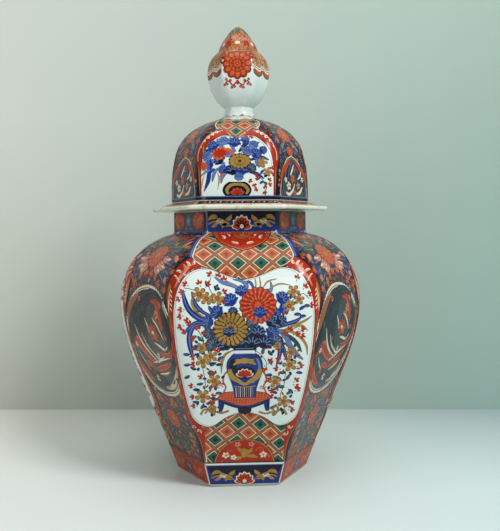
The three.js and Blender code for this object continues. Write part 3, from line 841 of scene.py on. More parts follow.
def brocade_sprays(pen):
    """What is painted round the large flowers on one half of a brocade side."""
    coat = FILL + 2
    for x, y, x2, y2, width in ((14, 284, 36, 276, 9), (10, 279, 27, 270, 8), (20, 291, 42, 287, 8)):
        pen.leaf(PINK, coat, (x, y), (x2, y2), width, -0.12, 0.8)
        pen.leaf(CREAM, coat + 1, (x + 6, y), (x2, y2 + 0.4), width * 0.26, -0.12, 0.7)
        pen.stroke(RED, coat + 2, [(x, y), (mix(x, x2, 0.6), mix(y, y2, 0.6))], 1.4)
    pen.veined(coat, [
        (BLUE, 34, 283, 52, 279), (BLUE, 38, 274, 56, 266), (BLUE, 30, 268, 46, 258),
        (GREEN, 24, 304, 44, 309), (SLATE, 30, 299, 50, 300), (SLATE, 14, 310, 32, 320),
        (PINK, 46, 292, 56, 284), (PINK, 44, 306, 50, 318), (CORAL, 8, 318, 24, 331),
        (CORAL, 0, 321, 12, 336), (BLUE, 26, 326, 38, 334), (CORAL, 36, 316, 44, 326)], 6.4, 1.1)
    pen.veined(coat, [
        (SLATE, 14, 92, 34, 100), (GREEN, 16, 80, 36, 76), (SLATE, 10, 68, 26, 58), (BLUE, 30, 88, 46, 84),
        (CORAL, 12, 104, 22, 115), (CORAL, 30, 62, 42, 54), (GREEN, 8, 52, 24, 42), (SLATE, 40, 106, 54, 116),
        (RED, 30, 44, 42, 40)], 5.6)
    for x, y, turn in ((6, 264, -20), (17, 261, -50), (28, 254, -80)):
        bud_spray(pen, x, y, 8.5, turn, CORAL, coat)
    blossoms(pen, coat + 1, [
        (PINK, 47, 262, 4.4), (CORAL, 58, 272, 4), (CORAL, 52, 250, 4), (PINK, 22, 312, 3.4),
        (PINK, 38, 334, 3.6), (PINK, 12, 340, 3.4), (CORAL, 24, 108, 4.4), (PINK, 38, 94, 4),
        (CORAL, 26, 50, 4), (PINK, 36, 70, 3.6), (CORAL, 12, 40, 3.4), (PINK, 48, 124, 4)])


# The medallion's plumes and leaves: (across, up, width) from its own middle line
PLUMES = [
    [(42, 236, 4), (22, 243, 9), (2, 240, 17), (-17, 229, 24), (-35, 212, 25), (-49, 194, 18), (-56, 176, 6)],
    [(-4, 228, 10), (-17, 211, 22), (-17, 192, 20), (-7, 175, 13), (8, 163, 4)],
    [(36, 229, 5), (47, 214, 13), (49, 198, 14), (43, 185, 10), (32, 179, 3)],
    [(-44, 160, 4), (-32, 150, 12), (-14, 142, 16), (4, 137, 14), (20, 133, 4)],
    [(52, 176, 3), (48, 163, 8), (38, 154, 8), (28, 150, 3)],
]
RED_LEAVES = [
    [(-54, 172, 3), (-44, 184, 11), (-30, 178, 14), (-15, 168, 11), (0, 160, 5)],
    [(10, 236, 3), (24, 236, 9), (34, 226, 14), (38, 213, 11), (36, 204, 3)],
    [(55, 218, 4), (58.5, 203, 8), (58, 187, 8), (53, 172, 3)],
    [(-52, 160, 3), (-45, 148, 8), (-34, 139, 8), (-22, 133, 3)],
    [(20, 176, 3), (32, 173, 8), (46, 176, 7), (51, 184, 2)],
    [(-6, 149, 3), (8, 154, 7), (26, 159, 7), (42, 166, 3)],
    [(-30, 158, 3), (-18, 156, 7), (-4, 150, 3)],
]
TAN_LEAVES = [
    [(-56, 200, 5), (-52, 216, 13), (-40, 230, 14), (-25, 241, 5)],
    [(-16, 182, 3), (-6, 175, 9), (6, 168, 8), (18, 163, 3)],
    [(8, 145, 3), (24, 150, 6), (40, 156, 4)],
    [(14, 218, 2), (24, 214, 6), (31, 205, 3)],
]
PALE_LEAVES = [
    [(6, 129, 4), (22, 132, 9), (36, 140, 11), (47, 152, 7), (53, 164, 3)],
    [(2, 146, 1.5), (18, 149, 3.2), (36, 154, 2)],
    [(-8, 159, 1.2), (8, 163, 3.2), (26, 168, 3.0), (42, 172, 1.2)],
    [(-7, 215, 1.2), (-1, 207, 3.8), (3, 199, 4.2), (9, 190, 2)],
    [(14, 216, 1.5), (24, 210, 4), (32, 202, 3.6), (38, 193, 1.2)],
    [(12, 187, 1.5), (24, 184, 4.6), (36, 181, 4), (45, 186, 1.5)],
    [(-38, 204, 1.2), (-31, 190, 3.8), (-20, 178, 4.4), (-4, 168, 3.8), (12, 161, 1.5)],
    [(-22, 194, 1), (-13, 182, 3), (0, 173, 4), (14, 167, 3), (30, 172, 1.2)],
    [(-44, 170, 1), (-36, 160, 2.6), (-26, 152, 1)],
]


def streaks(pen, coat, band, marks, width):
    """Fine lines inside a band: marks are (colour, share of the width off the middle)."""
    rows = np.array(band, float)
    for colour, share in marks:
        pen.stroke(colour, coat, rows[:, :2] + across_way(rows, rows[:, 2:] * share), width)


def medallion(pen):
    """Scalloped medallion on the brocade: dark plumes over red and tan leaves, round a flower."""
    halves = split_outline(MEDALLION_HALF)
    domed_field(pen, CREAM, FLOWER + 1, *halves, 28, 38)
    domed_field(pen, SLATE, FLOWER + 3, *(mix(MEDALLION_MIDDLE, half, 0.958) for half in halves), 28, 38)
    for side in pen.sides():
        for x, y in smooth(MEDALLION_HALF, 7.0):
            side.blot(CREAM, FLOWER + 1.5, x, y, 3.0, cell=3)
        side.stroke(LINE, FLOWER + 2.5, mix(MEDALLION_MIDDLE, MEDALLION_HALF, 0.985), 1.0)
        side.stroke(LINE, FLOWER, mix(MEDALLION_MIDDLE, MEDALLION_HALF, np.array([1.06, 1.055])), 1.6)
    coat = FLOWER + 4
    for band in TAN_LEAVES:
        pen.stroke(TAN, coat, band, cell=3)
    for band in RED_LEAVES:
        pen.edged(CORAL, coat + 1, band, 1.8, cell=3)
        pen.stroke(RED, coat + 2, wider(band, share=0.5), cell=3)
    for band in PLUMES:
        pen.edged(NAVY, coat + 2, band, 1.6, cell=3)
        streaks(pen, coat + 3, band, ((SLATE, -0.32), (LINE, -0.1), (SLATE, 0.12), (SLATE, 0.32)), 1.0)
    for band in PALE_LEAVES:
        pen.edged(CREAM, coat + 3, band, 1.4, share=0.7, cell=3)
        if band[2][2] > 6:
            streaks(pen, coat + 4, band, ((TAN, -0.25), (TAN, 0.0), (TAN, 0.25)), 0.7)
    for turn, length, colour in ((200, 11, RED), (150, 13, CORAL), (96, 12, RED), (40, 13, RED),
                                 (350, 17, RED), (310, 13, CORAL), (255, 11, RED)):
        marks = ((LINE, coat + 4, 0, 1.08, 8.4), (colour, coat + 5, 0, 1, 6.6), (TAN, coat + 6, 0.2, 0.75, 1))
        pen.fan(13, 199, [turn], length, length, marks, 0.7, 0.05)
    pen.blot(CREAM, coat + 7, 13, 199, 3.0, 2.2)
    blossoms(pen, coat + 4, [
        (PINK, 26, 221, 5.5), (CORAL, -26, 150, 4.5), (CREAM, -8, 139, 4.6), (CREAM, -44, 178, 3.4),
        (CORAL, 44, 196, 3.4), (GREEN, 46, 146, 3.4), (TAN, -14, 188, 3.2), (CREAM, 14, 172, 3.2),
        (RED, -6, 139, 2.4), (CORAL, -22, 236, 3.6)], LINE)
    pen.leaves(coat + 4, [(GREEN, -50, 214, -44, 200, 3.4), (GREEN, 52, 224, 56, 210, 3.4),
                          (GREEN, -14, 146, 2, 150, 3.4), (GREEN, 40, 146, 30, 138, 3.4)], 0.1)


def facet_band(pen, band, ground):
    """The band at the neck or the foot of one facet: scrolls on cobalt, or a blue flower on brown."""
    low, high = band
    middle = (low + high) / 2
    half_low, half_high = JAR.half_width(low), JAR.half_width(high)
    pen.band(ground, FIELD, low, high, half_low, half_high, 4)
    if ground == BLUE:
        pen.band(NAVY, FIELD + 1, middle, high, half_low - 3, half_high - 2, 3)
        petals = ((CREAM, FIELD + 3, 0.1, 1, 6.25), (RED, FIELD + 4, 0.1, 0.86, 5),
                  (CORAL, FIELD + 5, 0.35, 0.7, 0.8))
        pen.fan(0, low + 2.5, 8 + np.arange(7) * 27.3, 12.5, 15.25, petals)
        pen.blot(CREAM, FIELD + 5, 0, low + 4.1, 2.4, 2.6)
        for side in pen.sides():
            leafy_scroll(side.moved(25, middle - 1), GOLD, FIELD + 2)
            leafy_scroll(side.moved(25.5, middle - 1.7, size=0.3), CREAM, FIELD + 3)
        return
    pen.blot(SLATE, FIELD + 1, 0, middle - 1, 9, lobes=6, depth=0.15)
    blossom(pen, 0, middle, 6.0, WASH, GOLD, FIELD + 2, 18)
    pen.level(WASH, FIELD + 1, [(low + 0.4, -11, 11), (low + 2.6, -7, 7)])
    for side in pen.sides():
        side.blot(RED, FIELD + 0.5, 25, middle, 15, 10.5, lobes=5, depth=0.15, turn=90 - 90 * side.hand)
        blossom(side, 17, middle + 2, 4.6, CORAL, GOLD, FIELD + 1)
        leafy_scroll(side.moved(25, middle, size=0.8), CORAL, FIELD + 1)
        side.leaf(GOLD, FIELD + 2, (22, low + 4), (34, middle + 4), 2.6, 0.2 * side.hand)
        side.blot(GREEN, FIELD + 2, 35, middle - 3, 2.4)


def leafy_scroll(pen, colour, coat):
    """A short stem with five leaves."""
    for x, y, x2, y2, width, bow in ((-11, -2, 4, 6, 7, -0.2), (-6, 2, -13, 8, 5.0, 0.2),
                                     (2, 4, 14, 1, 5.6, 0.25), (-8, -3, -2, -8, 4.2, 0.2),
                                     (4, 0, 11, -6, 4.2, -0.2)):
        pen.leaf(colour, coat, (x, y), (x2, y2), width, bow)
    pen.stroke(colour, coat, [(-13, -5), (-6, -5), (0, -1), (7, 0), (14, -3)], 1.8)


def neck_and_foot(pen, is_panel):
    """The bands at the neck and the foot of one facet, and the lines along them."""
    foot_top, neck_low = FOOT_BAND[1], NECK_BAND[0]
    facet_band(pen, FOOT_BAND, BLUE if is_panel else RED)
    # On the brocade facets the neck band's dark umber ground is partly the band's own dark red-brown and
    # partly painted shade from the brim above it.
    facet_band(pen, NECK_BAND, BLUE if is_panel else LINE)
    line = [(JAR.half_width(y) - 0.4, y) for y in np.linspace(*FOOT_BAND, 5)]
    for side in pen.sides():
        side.stroke(CREAM, FIELD + 3, line, 0.9, step=1.2, cell=0.8)
    half = JAR.half_width(neck_low - 2)
    pen.band(BLUE, FIELD + 1, neck_low - 2, neck_low + 1, half, half - 0.5)
    rows = ((WHITE, 2, foot_top, FOOT_LINE), (WASH, 3, foot_top, foot_top + 1),
            (LINE, 3, FOOT_LINE, FOOT_LINE + 0.9))
    if not is_panel:
        rows = ((TAN, 2, foot_top, foot_top + 1.2), (LINE, 2, foot_top + 1.2, FOOT_LINE - 0.6),
                (TAN, 3, FOOT_LINE - 0.6, FOOT_LINE + 0.6))
    for colour, coat, low, high in rows:
        pen.band(colour, FIELD + coat, low, high, JAR.half_width(FOOT_LINE))


# The bouquet on each white panel, in millimetres across and up the facet. Angles are in degrees.

# Leaf clusters: (x, y, radius, turn, colour)
CLUSTERS = [(-14, 238, 9.5, 30, BLUE), (-3, 248, 8, 0, BLUE), (-28, 226, 9, 60, BLUE),
            (-38, 216, 9, 80, BLUE), (-37, 204, 8, 100, SLATE), (40, 240, 9, -50, BLUE),
            (41, 229, 7.5, -80, BLUE), (38, 216, 8, -70, NAVY), (28, 214, 8.5, -40, NAVY),
            (8, 212, 8, 10, SLATE), (-27, 198, 8, 60, NAVY), (-34, 190, 9, 70, SLATE),
            (-20, 189, 10.5, 35, NAVY), (-6, 189, 11, 12, NAVY), (8, 190, 11.5, -8, NAVY),
            (21, 190, 10.5, -30, NAVY), (33, 192, 9.5, -60, SLATE), (14, 201, 10.5, -10, NAVY),
            (1, 200, 9, 10, NAVY), (29, 202, 9, -45, BLUE), (-12, 226, 6.5, 20, NAVY),
            (34, 225, 6, -60, BLUE), (-24, 211, 5, 70, NAVY)]
LONG_LEAVES = [
    (BLUE, [(-36, 216, 2.5), (-50, 221, 5.4), (-60, 230, 5.4), (-65, 241, 4.6), (-67, 252, 1)]),
    (BLUE, [(-40, 214, 2), (-52, 216, 3.6), (-60, 210, 4), (-67, 203, 1)]),
    (BLUE, [(-44, 214, 2), (-55, 212, 4.6), (-60, 202, 5.4), (-59.5, 188, 5), (-56, 172, 0.8)]),
    (BLUE, [(-34, 222, 1.6), (-46, 228, 3.4), (-54, 238, 3.4), (-57, 250, 0.8)]),
    (WASH, [(-2, 250, 2), (-12, 256, 3.8), (-24, 260, 3.6), (-32, 266, 0.8)]),
    (WASH, [(2, 250, 1.6), (3, 256, 3.6), (-3, 261, 2.8), (-12, 263, 0.6)]),
    (BLUE, [(0, 256, 1.2), (5, 260, 2.6), (9, 256, 2.4), (10, 250, 0.6)]),
    (BLUE, [(30, 208, 2), (44, 212, 3.8), (56, 216, 3.6), (63, 221, 0.7)]),
    (WASH, [(28, 202, 2.4), (38, 205, 4.6), (46, 197, 5), (51, 186, 4.8), (57, 178, 4.4), (65, 171, 0.8)]),
    (BLUE, [(26, 197, 2), (36, 194, 4.4), (39, 182, 4.8), (35, 163, 0.8)]),
    (SLATE, [(40, 203, 2), (50, 198, 3.6), (58, 190, 3.6), (63, 180, 0.6)]),
    (BLUE, [(34, 194, 2), (42, 187, 3.2), (45, 176, 3), (48, 168, 0.6)]),
    (WASH, [(26, 244, 1), (30, 252, 2.6), (29, 260, 0.8)]),
]
GOLD_BLADES = [
    [(-54, 248, 0.6), (-57, 238, 2.4), (-52, 228, 2.2), (-44, 222, 0.6)],
    [(42, 206, 0.6), (56, 212, 2.4), (66, 216, 2.2), (75, 221, 0.5)],
    [(50, 206, 0.5), (62, 211, 2), (70, 205, 0.5)],
    [(40, 207, 0.6), (52, 204, 2.6), (63, 196, 2.8), (69, 186, 2.4), (70, 176, 0.5)],
    [(-12, 184, 0.5), (-21, 179, 2.6), (-25, 170, 2.6), (-26, 156, 0.5)],
    [(-20, 262, 0.4), (-12, 257, 1.8), (-4, 252, 0.5)],
    [(12, 264, 0.4), (13, 257, 1.2), (12, 251, 0.4)],
    [(17, 265, 0.4), (18, 258, 1.2), (17, 251, 0.4)],
    [(20, 252, 0.4), (26, 260, 1.4), (36, 263, 0.4)],
    [(24, 250, 0.4), (38, 257, 1.4), (50, 256, 0.4)],
]
GOLD_BLOOMS = [(-49, 247, 7.5), (-41, 242, 6.6), (-29, 242, 7), (54, 249, 6.5), (60, 240, 5.5),
               (49, 233, 6.5), (-47, 187, 6), (-37, 177, 6.6), (-46, 171, 7.5), (-34, 147, 7.4),
               (-47, 127, 8), (-37, 110, 5), (51, 180, 6), (50, 165, 7.4), (34, 144, 7), (44, 118, 7.2),
               (36, 188, 4.6), (-22, 222, 4)]
RED_BUDS = [(-62, 257, 60), (-66, 250, 100), (-70, 243, 120), (-48, 257, 20), (-41, 256, -30), (-35, 268, 60),
            (-29, 265, -20), (-22, 261, 0), (-24, 248, -60), (-25, 236, -40), (-67, 230, 90), (-68, 223, 100),
            (-60, 218, 80), (-58, 214, 60), (-68, 212, 110), (-64, 208, 130), (-50, 207, 20), (-45, 201, -20),
            (-54, 196, 60), (-54, 176, 80), (-54, 168, 100), (-46, 151, 70), (-38, 152, -20), (-57, 140, 80),
            (-36, 139, -60), (-56, 126, 90), (-38, 126, -70), (-55, 114, 90), (-40, 117, -60), (66, 252, -40),
            (70, 244, -60), (72, 233, -90), (58, 262, -20), (45, 222, 10), (48, 205, -40), (55, 201, -80),
            (45, 200, 10), (61, 207, -90), (61, 200, -110), (60, 163, -80), (38, 160, 80), (40, 170, 60),
            (56, 144, -50), (56, 139, -120), (30, 146, 60), (33, 132, 80), (33, 124, 70), (51, 115, -60),
            (51, 107, -100), (12, 179, 60), (17, 172, 20), (27, 168, -30), (22, 163, 180), (-32, 181, -30),
            (-32, 140, 40), (58, 132, -60)]
BLUE_LEAVES = [(-38, 255, 30), (-31, 250, -20), (-26, 252, 60), (-46, 232, 120), (-39, 234, 200),
               (-52, 201, 100), (-46, 195, 40), (-53, 191, 140), (-60, 180, 90), (-60, 168, 100),
               (-53, 161, 60), (-61, 154, 120), (-38, 165, -60), (-32, 166, -90), (-40, 159, -120),
               (-46, 144, 100), (-50, 136, 90), (-40, 136, -50), (-51, 120, 90), (-46, 117, 150),
               (-37, 121, -80), (-36, 180, 30), (65, 232, -90), (60, 228, -60), (54, 223, -90),
               (50, 240, -30), (31, 177, 40), (46, 156, 90), (57, 155, -100), (41, 147, 60), (47, 146, -30),
               (45, 137, 80), (38, 138, 120), (49, 134, -140), (37, 129, 60), (47, 127, -60), (35, 113, 120),
               (43, 108, 180), (20, 178, -10), (26, 172, -150), (-55, 184, -40), (-33, 130, -90),
               (30, 154, 100), (60, 220, -80), (-30, 172, -60)]
STEMS = [[(-44, 196), (-50, 180), (-46, 160), (-44, 140), (-47, 120), (-42, 110)],
         [(46, 190), (52, 176), (46, 158), (44, 140), (40, 124), (46, 108)],
         [(-34, 238), (-44, 246), (-56, 252), (-66, 254)], [(-30, 240), (-38, 254), (-36, 266)],
         [(40, 228), (52, 238), (64, 246), (72, 240)], [(10, 184), (18, 178), (24, 168), (24, 160)],
         [(-60, 216), (-50, 206), (-46, 198)], [(46, 204), (56, 203), (66, 206)]]


def bouquet(pen):
    """The flowers, leaves and blades of the large bouquet, and its vase."""
    for line in STEMS:
        pen.stroke(GREEN, PLANT, line, 0.8)
    for colour, line in LONG_LEAVES:
        pen.edged(colour, PLANT + 1, line, 0.8, NAVY)
        if colour == BLUE:
            pen.stroke(WASH, PLANT + 2, wider(line, share=0.22))
    for line in GOLD_BLADES:
        pen.edged(GOLD, PLANT + 1, line, 0.5)
    for x, y, turn in BLUE_LEAVES:
        spot = pen.moved(x, y, 90 + turn)
        spot.leaf((BLUE, NAVY, SLATE)[x % 3], PLANT + 1, (0, 0), (8.2, 0), 4.0, 0.08, 0.6)
        spot.stroke(WASH, PLANT + 2, [(2.05, 0), (6.15, 0)], 0.6)
    for x, y, turn in RED_BUDS:
        bud_spray(pen, x, y, 6.0, turn, RED, PLANT + 2)
        pen.moved(x, y, turn).stroke(GREEN, PLANT + 1, [(0, 0), (0, -2.2)], 0.8)
    for x, y, radius in GOLD_BLOOMS:
        starry(pen, x, y, radius, GOLD, CORAL, PLANT + 3, x * 5)
        if y < 200:
            spray_round(pen, x, y, radius)
    for cluster in CLUSTERS:
        leaf_cluster(pen, *cluster, PLANT + 2)
    chrysanthemum(pen, 15, 234, 19.8, RED, CORAL, PINK, PLANT + 2)
    chrysanthemum(pen, -15, 208, 18.8, GOLD, LINE, TAN, PLANT + 3, 8)
    leaf_cluster(pen, 17, 224, 8.5, 0, BLUE, PLANT + 6)
    leaf_cluster(pen, -17, 203, 7.5, 0, NAVY, PLANT + 7)
    for side in pen.sides():
        for colour, coat, width in ((LINE, PLANT, 1.9), (CORAL, PLANT + 1, 1.1)):
            chain = [(18, 160), (23, 153), (24, 145), (21, 138), (24, 130), (22, 124)]
            side.stroke(colour, coat, chain, width)
        scroll(side, CORAL, PLANT + 1, 24, 138, 7, 90 + 110 * side.hand, 1.2)
    ribbon(pen.moved(-36, 106))
    ribbon(pen.moved(34, 104, mirror=True))
    flower_vase(pen)


def spray_round(pen, x, y, radius):
    """Small leaves and buds round one of the hanging blooms."""
    for turn, colour, width in ((12, BLUE, 3.4), (70, RED, 2.2), (118, NAVY, 3.2), (176, RED, 2.4),
                                (216, GREEN, 2.8), (262, BLUE, 3.2), (318, RED, 2.2)):
        turn += x * 3
        pen.moved(x, y).leaf(colour, PLANT + 2, turned(turn, radius + 1.2), turned(turn + 8.6, radius + 5.8),
                             width, 0.08, 0.7)


def ribbon(pen):
    """A knotted ribbon beside the vase."""
    for colour, width, coat in ((LINE, 2.6, PLANT), (GOLD, 1.8, PLANT + 1)):
        pen.stroke(colour, coat, [(-14, -4), (-10, 3), (-3, 1), (0, -4), (3, 0), (10, -2), (18, 1)], width)
        pen.stroke(colour, coat, [(-3, 0), (-4, 6), (0, 8), (3, 5), (0, 1), (2, -5)], width)


VASE = [(124, -11, 12), (134, -12, 12.5), (144, -14.5, 15), (154, -18, 18.4), (163, -19.6, 19.6),
        (171, -18.6, 18.6), (177, -14.5, 15), (180, -11.5, 12)]
STAND_TOP = np.array([(-30, 124), (-26, 129), (-20, 131.4), (-8, 132), (8, 132), (20, 130.4), (26, 128),
                      (29, 123.4)])
STAND_FRONT = np.array([(-28, 122), (-22, 118.6), (-12, 115), (0, 113.4), (8, 114), (16, 116), (24, 119),
                        (27, 121.4)])
STAND_EDGE = [(-29, 122, 2.4), (-20, 117, 4.2), (-8, 112.4, 4.4), (0, 111.4, 4.6), (8, 112.4, 4.4),
              (20, 117, 4.2), (28, 122, 2.4)]
VASE_SCROLL = [(-17, 161, 4), (-14.5, 152, 6.4), (-7, 146, 5), (0, 141.6, 3.4), (7, 146, 5), (14.5, 152, 6.4),
               (17, 161, 4)]


def flower_vase(pen):
    """The painted vase on its stand, which holds the bouquet."""
    coat = PLANT + 3
    pen.ruled(LINE, coat, STAND_TOP * (1.03, 1) + (0, 0.6), STAND_FRONT * (1.03, 1) - (0, 0.8))
    pen.ruled(CORAL, coat + 1, STAND_TOP, STAND_FRONT)
    for y, half in ((118, 17), (121, 23), (124, 26), (127, 26), (129.6, 22)):
        dashes = [x for x in np.arange(-half, half + 1, 3.4) if abs(x) > 11 or y < 123]
        pen.leaves(coat + 2, [(RED, x, y - 0.9, x + 1.8, y + 0.9, 1.5) for x in dashes])
    pen.stroke(BLUE, coat + 2, STAND_EDGE)
    pen.stroke(NAVY, coat + 3, wider(STAND_EDGE, share=0.4) - (0, 0.8, 0))
    for x, lean in ((-26.5, -1), (25, 1)):
        pen.stroke(BLUE, coat + 2, [(x, 121, 7), (x, 114, 6.4), (x + lean, 106, 4)])
        pen.stroke(NAVY, coat + 3, [(x + 1.2, 118, 2), (x + 1.2, 110, 2)])
    pen.leaf(NAVY, coat + 2, (0, 113), (0, 102), 15, 0, 0.9)
    for colour, level, rows in (
            (NAVY, 3, [(y, left - 0.6, right + 0.6) for y, left, right in VASE]), (BLUE, 4, VASE),
            (NAVY, 5, [(152, -15, -6), (163, -18, -9), (174, -14.4, -6)]),
            (WASH, 5, [(150, 13, 16.5), (164, 15, 18), (174, 12, 15)]),
            (WHITE, 4, [(179.4, -11.5, 12), (184, -10, 10.6)]),
            (NAVY, 5, [(183.4, -12.4, 13), (188, -12, 12.6)])):
        pen.level(colour, coat + level, rows)
    pen.stroke(WASH, coat + 6, [(-10, 185.6), (10, 185.6)], 0.8)
    pen.blot(GOLD, coat + 6, 0, 171, 12, 3.4, lobes=6, depth=0.3)
    pen.stroke(GOLD, coat + 6, [(-12.5, 166.4, 2), (-5, 170, 4), (0, 171.6, 4.6), (5, 170, 4),
                                (12.5, 166.4, 2)])
    pen.stroke(GOLD, coat + 6, VASE_SCROLL)
    pen.blot(NAVY, coat + 6, 0, 156.5, 11.5, 8)
    petals = (CREAM, coat + 7, 0, 1, 5), (RED, coat + 8, 0, 0.86, 4)
    pen.fan(0, 152.4, 15 + np.arange(6) * 30, 10.4, 9.4, petals)
    for x in np.arange(-9.5, 10, 2.3):
        pen.stroke(CREAM if int(x * 10) % 2 else GOLD, coat + 6, [(x * 1.04, 138), (x, 125)], 0.6)
    pen.stroke(GOLD, coat + 6, [(-12, 139.4), (0, 138), (12.4, 139.4)], 0.9)
    pen.stroke(WASH, coat + 5, [(8, 148), (10, 143)], 3.0)


def paint_jar(ware):
    for facet in PANEL_FACETS:
        pen = Pen(ware, JAR, facet)
        shifted = pen.moved(PANEL_SHIFTS[facet])
        panel(shifted)
        bouquet(shifted)
        neck_and_foot(pen, True)
    for facet in BROCADE_FACETS:
        pen = Pen(ware, JAR, facet)
        edges = [(y, *brocade_edges(facet, y)) for y in np.linspace(FOOT_LINE - 2, NECK_BAND[0] + 0.4, 64)]
        pen.level(NAVY, GROUND, edges, 3.4)
        pen.level(SLATE, GROUND + 0.5, [row for row in edges if row[0] < 122], 3.4)
        for low, high, seed in ((247, 344, 11), (38, 128, 31), (128, 247, 51)):
            heights, chance = np.arange(low, high, 5.9), np.random.default_rng(seed + facet)
            scatter(pen, heights, lambda y: brocade_edges(facet, y), chance, inset=4.5, room=6, pitch=6.4,
                    shake=1.4, lift=1.2, medallion_middle=MEDALLION_SHIFTS[facet])
        shifted = pen.moved(FLOWER_SHIFTS[facet])
        for side in shifted.sides():
            brocade_sprays(side)
        brocade_flower(shifted, 0, 292, 19)
        brocade_flower(shifted, 0, 84, 15)
        medallion(pen.moved(MEDALLION_SHIFTS[facet]))
        neck_and_foot(pen, False)


# The cover's painting

KNOB_FLOWER_UP = 54.5
KNOB_FLOWER_ROOM = 15
DOME_PANEL_HALF = np.array([(0, 73.5), (6, 76.5), (13, 77.8), (20, 76.5), (28, 71), (36, 62), (41, 51),
                            (43, 38), (43.2, 25), (42.8, 5)])
DOME_RED_OUTER = [(15, 86), (20, 88), (27, 85), (35, 79), (43, 71), (50, 60), (52, 50), (48.5, 38), (46, 20),
                  (45, 5)]
DOME_COLLAR = [(17, 85), (22, 88), (26, 94), (26, 102), (23, 111)]
DOME_RED_INNER = [(9, 78.4), (15, 78.4), (28, 72), (36.5, 62.5), (41.5, 51), (43.5, 40), (43.5, 30),
                  (43.5, 20), (43.4, 12), (42.8, 5)]
DOME_REACH = [(0, 45.5), (20, 46), (38, 48.5), (50, 52), (60, 50), (71, 43), (79, 35), (86, 25), (96, 26.5),
              (104, 25), (112, 22), (122, 17)]


def dome_panel(pen):
    pen.level(TAN, LATTICE, [(72, -30, 30), (116, -26, 26)])
    lattice(pen, -1.5, 95, 0.8, columns=3)
    for side in pen.sides():
        side.ruled(RED, BORDER, DOME_RED_OUTER, DOME_RED_INNER, across=1.6)
        for x, y, r in ((24, 83, 2.2), (29, 80, 2.4), (34, 75.5, 2.4), (39, 70.5, 1.8), (44, 63, 1.4)):
            side.blot(CREAM, BORDER + 2, x, y, r, lobes=4, depth=0.25)
            side.blot(CORAL, BORDER + 3, x + 0.6, y, r * 0.34)
        side.stroke(CREAM, BORDER + 2, [(20, 84), (28, 81.5), (36, 75), (43, 66), (48, 55), (48, 46)], 0.8)
        side.leaf(GOLD, BORDER + 2, (46.5, 40), (44.8, 8), 1.4)
        side.stroke(CREAM, BORDER, DOME_COLLAR, 1.0)
        side.stroke(LINE, BORDER + 1, DOME_RED_OUTER, 0.8)
        side.stroke(LINE, FIELD + 1, DOME_PANEL_HALF, 0.9)
        side.stroke(GOLD, FIELD + 1, DOME_PANEL_HALF[:8] * (0.95, 1) - (0, 1.4), 0.6)
    domed_field(pen, WHITE, FIELD, smooth(DOME_PANEL_HALF[:8], 1.6), [(0, 4.5), (43, 4.5)], 26, 30)
    dome_bouquet(pen)


DOME_CLUSTERS = [(-33, 50, 8, 60, WASH), (-27, 62, 8, 30, BLUE), (-15, 68, 7.5, 10, WASH),
                 (-31, 41, 7, 90, BLUE), (-20, 45, 7.5, 40, NAVY), (-9, 53, 7, 20, WASH),
                 (-3, 66, 8.5, 0, BLUE), (12, 55, 8, -20, WASH), (21, 52, 8, -50, BLUE),
                 (18, 63, 7, -40, WASH), (24, 43, 7, -80, WASH), (-15, 34, 7, 50, BLUE),
                 (-5, 33, 9, 15, NAVY), (5, 33, 9, -10, BLUE), (15, 35, 7.5, -40, SLATE),
                 (2, 25, 6.5, 0, WASH), (9, 70, 6, -10, BLUE), (29, 57, 6, -60, BLUE)]
DOME_LEAVES = [
    (BLUE, [(-26, 36, 1.5), (-32, 32, 4.2), (-34, 22, 4.4), (-39, 10, 0.7)]),
    (WASH, [(-18, 38, 1.2), (-25, 34, 3.2), (-28, 27, 2.8), (-29, 21, 0.6)]),
    (WASH, [(-28, 36, 1.2), (-36, 33, 2.6), (-43, 28, 0.6)]),
    (BLUE, [(3, 58, 1.5), (8, 66, 3), (5, 75, 0.7)]),
    (WASH, [(-2, 56, 2), (-7, 66, 4), (-8, 76, 0.8)]),
    (BLUE, [(2, 56, 2), (11, 66, 4), (14, 74, 0.8)]),
    (WASH, [(8, 54, 2), (20, 64, 4.4), (26, 68, 0.8)]),
    (WASH, [(12, 52, 2), (26, 57, 4), (35, 56, 0.8)]),
    (BLUE, [(14, 46, 2), (28, 49, 3.6), (37, 46, 0.8)]),
    (WASH, [(-10, 54, 2), (-21, 66, 4.4), (-23, 73, 0.8)]),
    (BLUE, [(-14, 48, 2), (-30, 58, 4), (-38, 58, 0.8)]),
    (WASH, [(-14, 42, 2), (-28, 45, 4), (-40, 49, 0.8)]),
    (WASH, [(-10, 34, 2), (-17, 27, 3.4), (-19, 19, 0.7)]),
    (BLUE, [(14, 32, 2), (23, 30, 3.2), (31, 24, 0.7)]),
]
DOME_BLADES = [
    [(-39, 66, 0.5), (-40, 60, 2.4), (-39, 52, 0.5)], [(-23, 32, 0.5), (-21, 24, 2), (-23, 12, 0.5)],
    [(-38, 30, 0.5), (-41, 22, 1.8), (-42, 14, 0.5)], [(2, 68, 0.5), (6, 60, 1.6), (5, 52, 0.5)],
]
DOME_BUDS = [(-41, 44, 60), (-38, 42, 90), (11, 73, 20), (15, 73, -40), (20, 27, -60), (13, 23, -120),
             (19, 19, -160), (24, 13, 120), (31, 10, 200), (36, 16, -60), (36, 21, -40), (40, 34, -20),
             (40, 28, -60), (30, 16, -120), (24, 22, 10)]


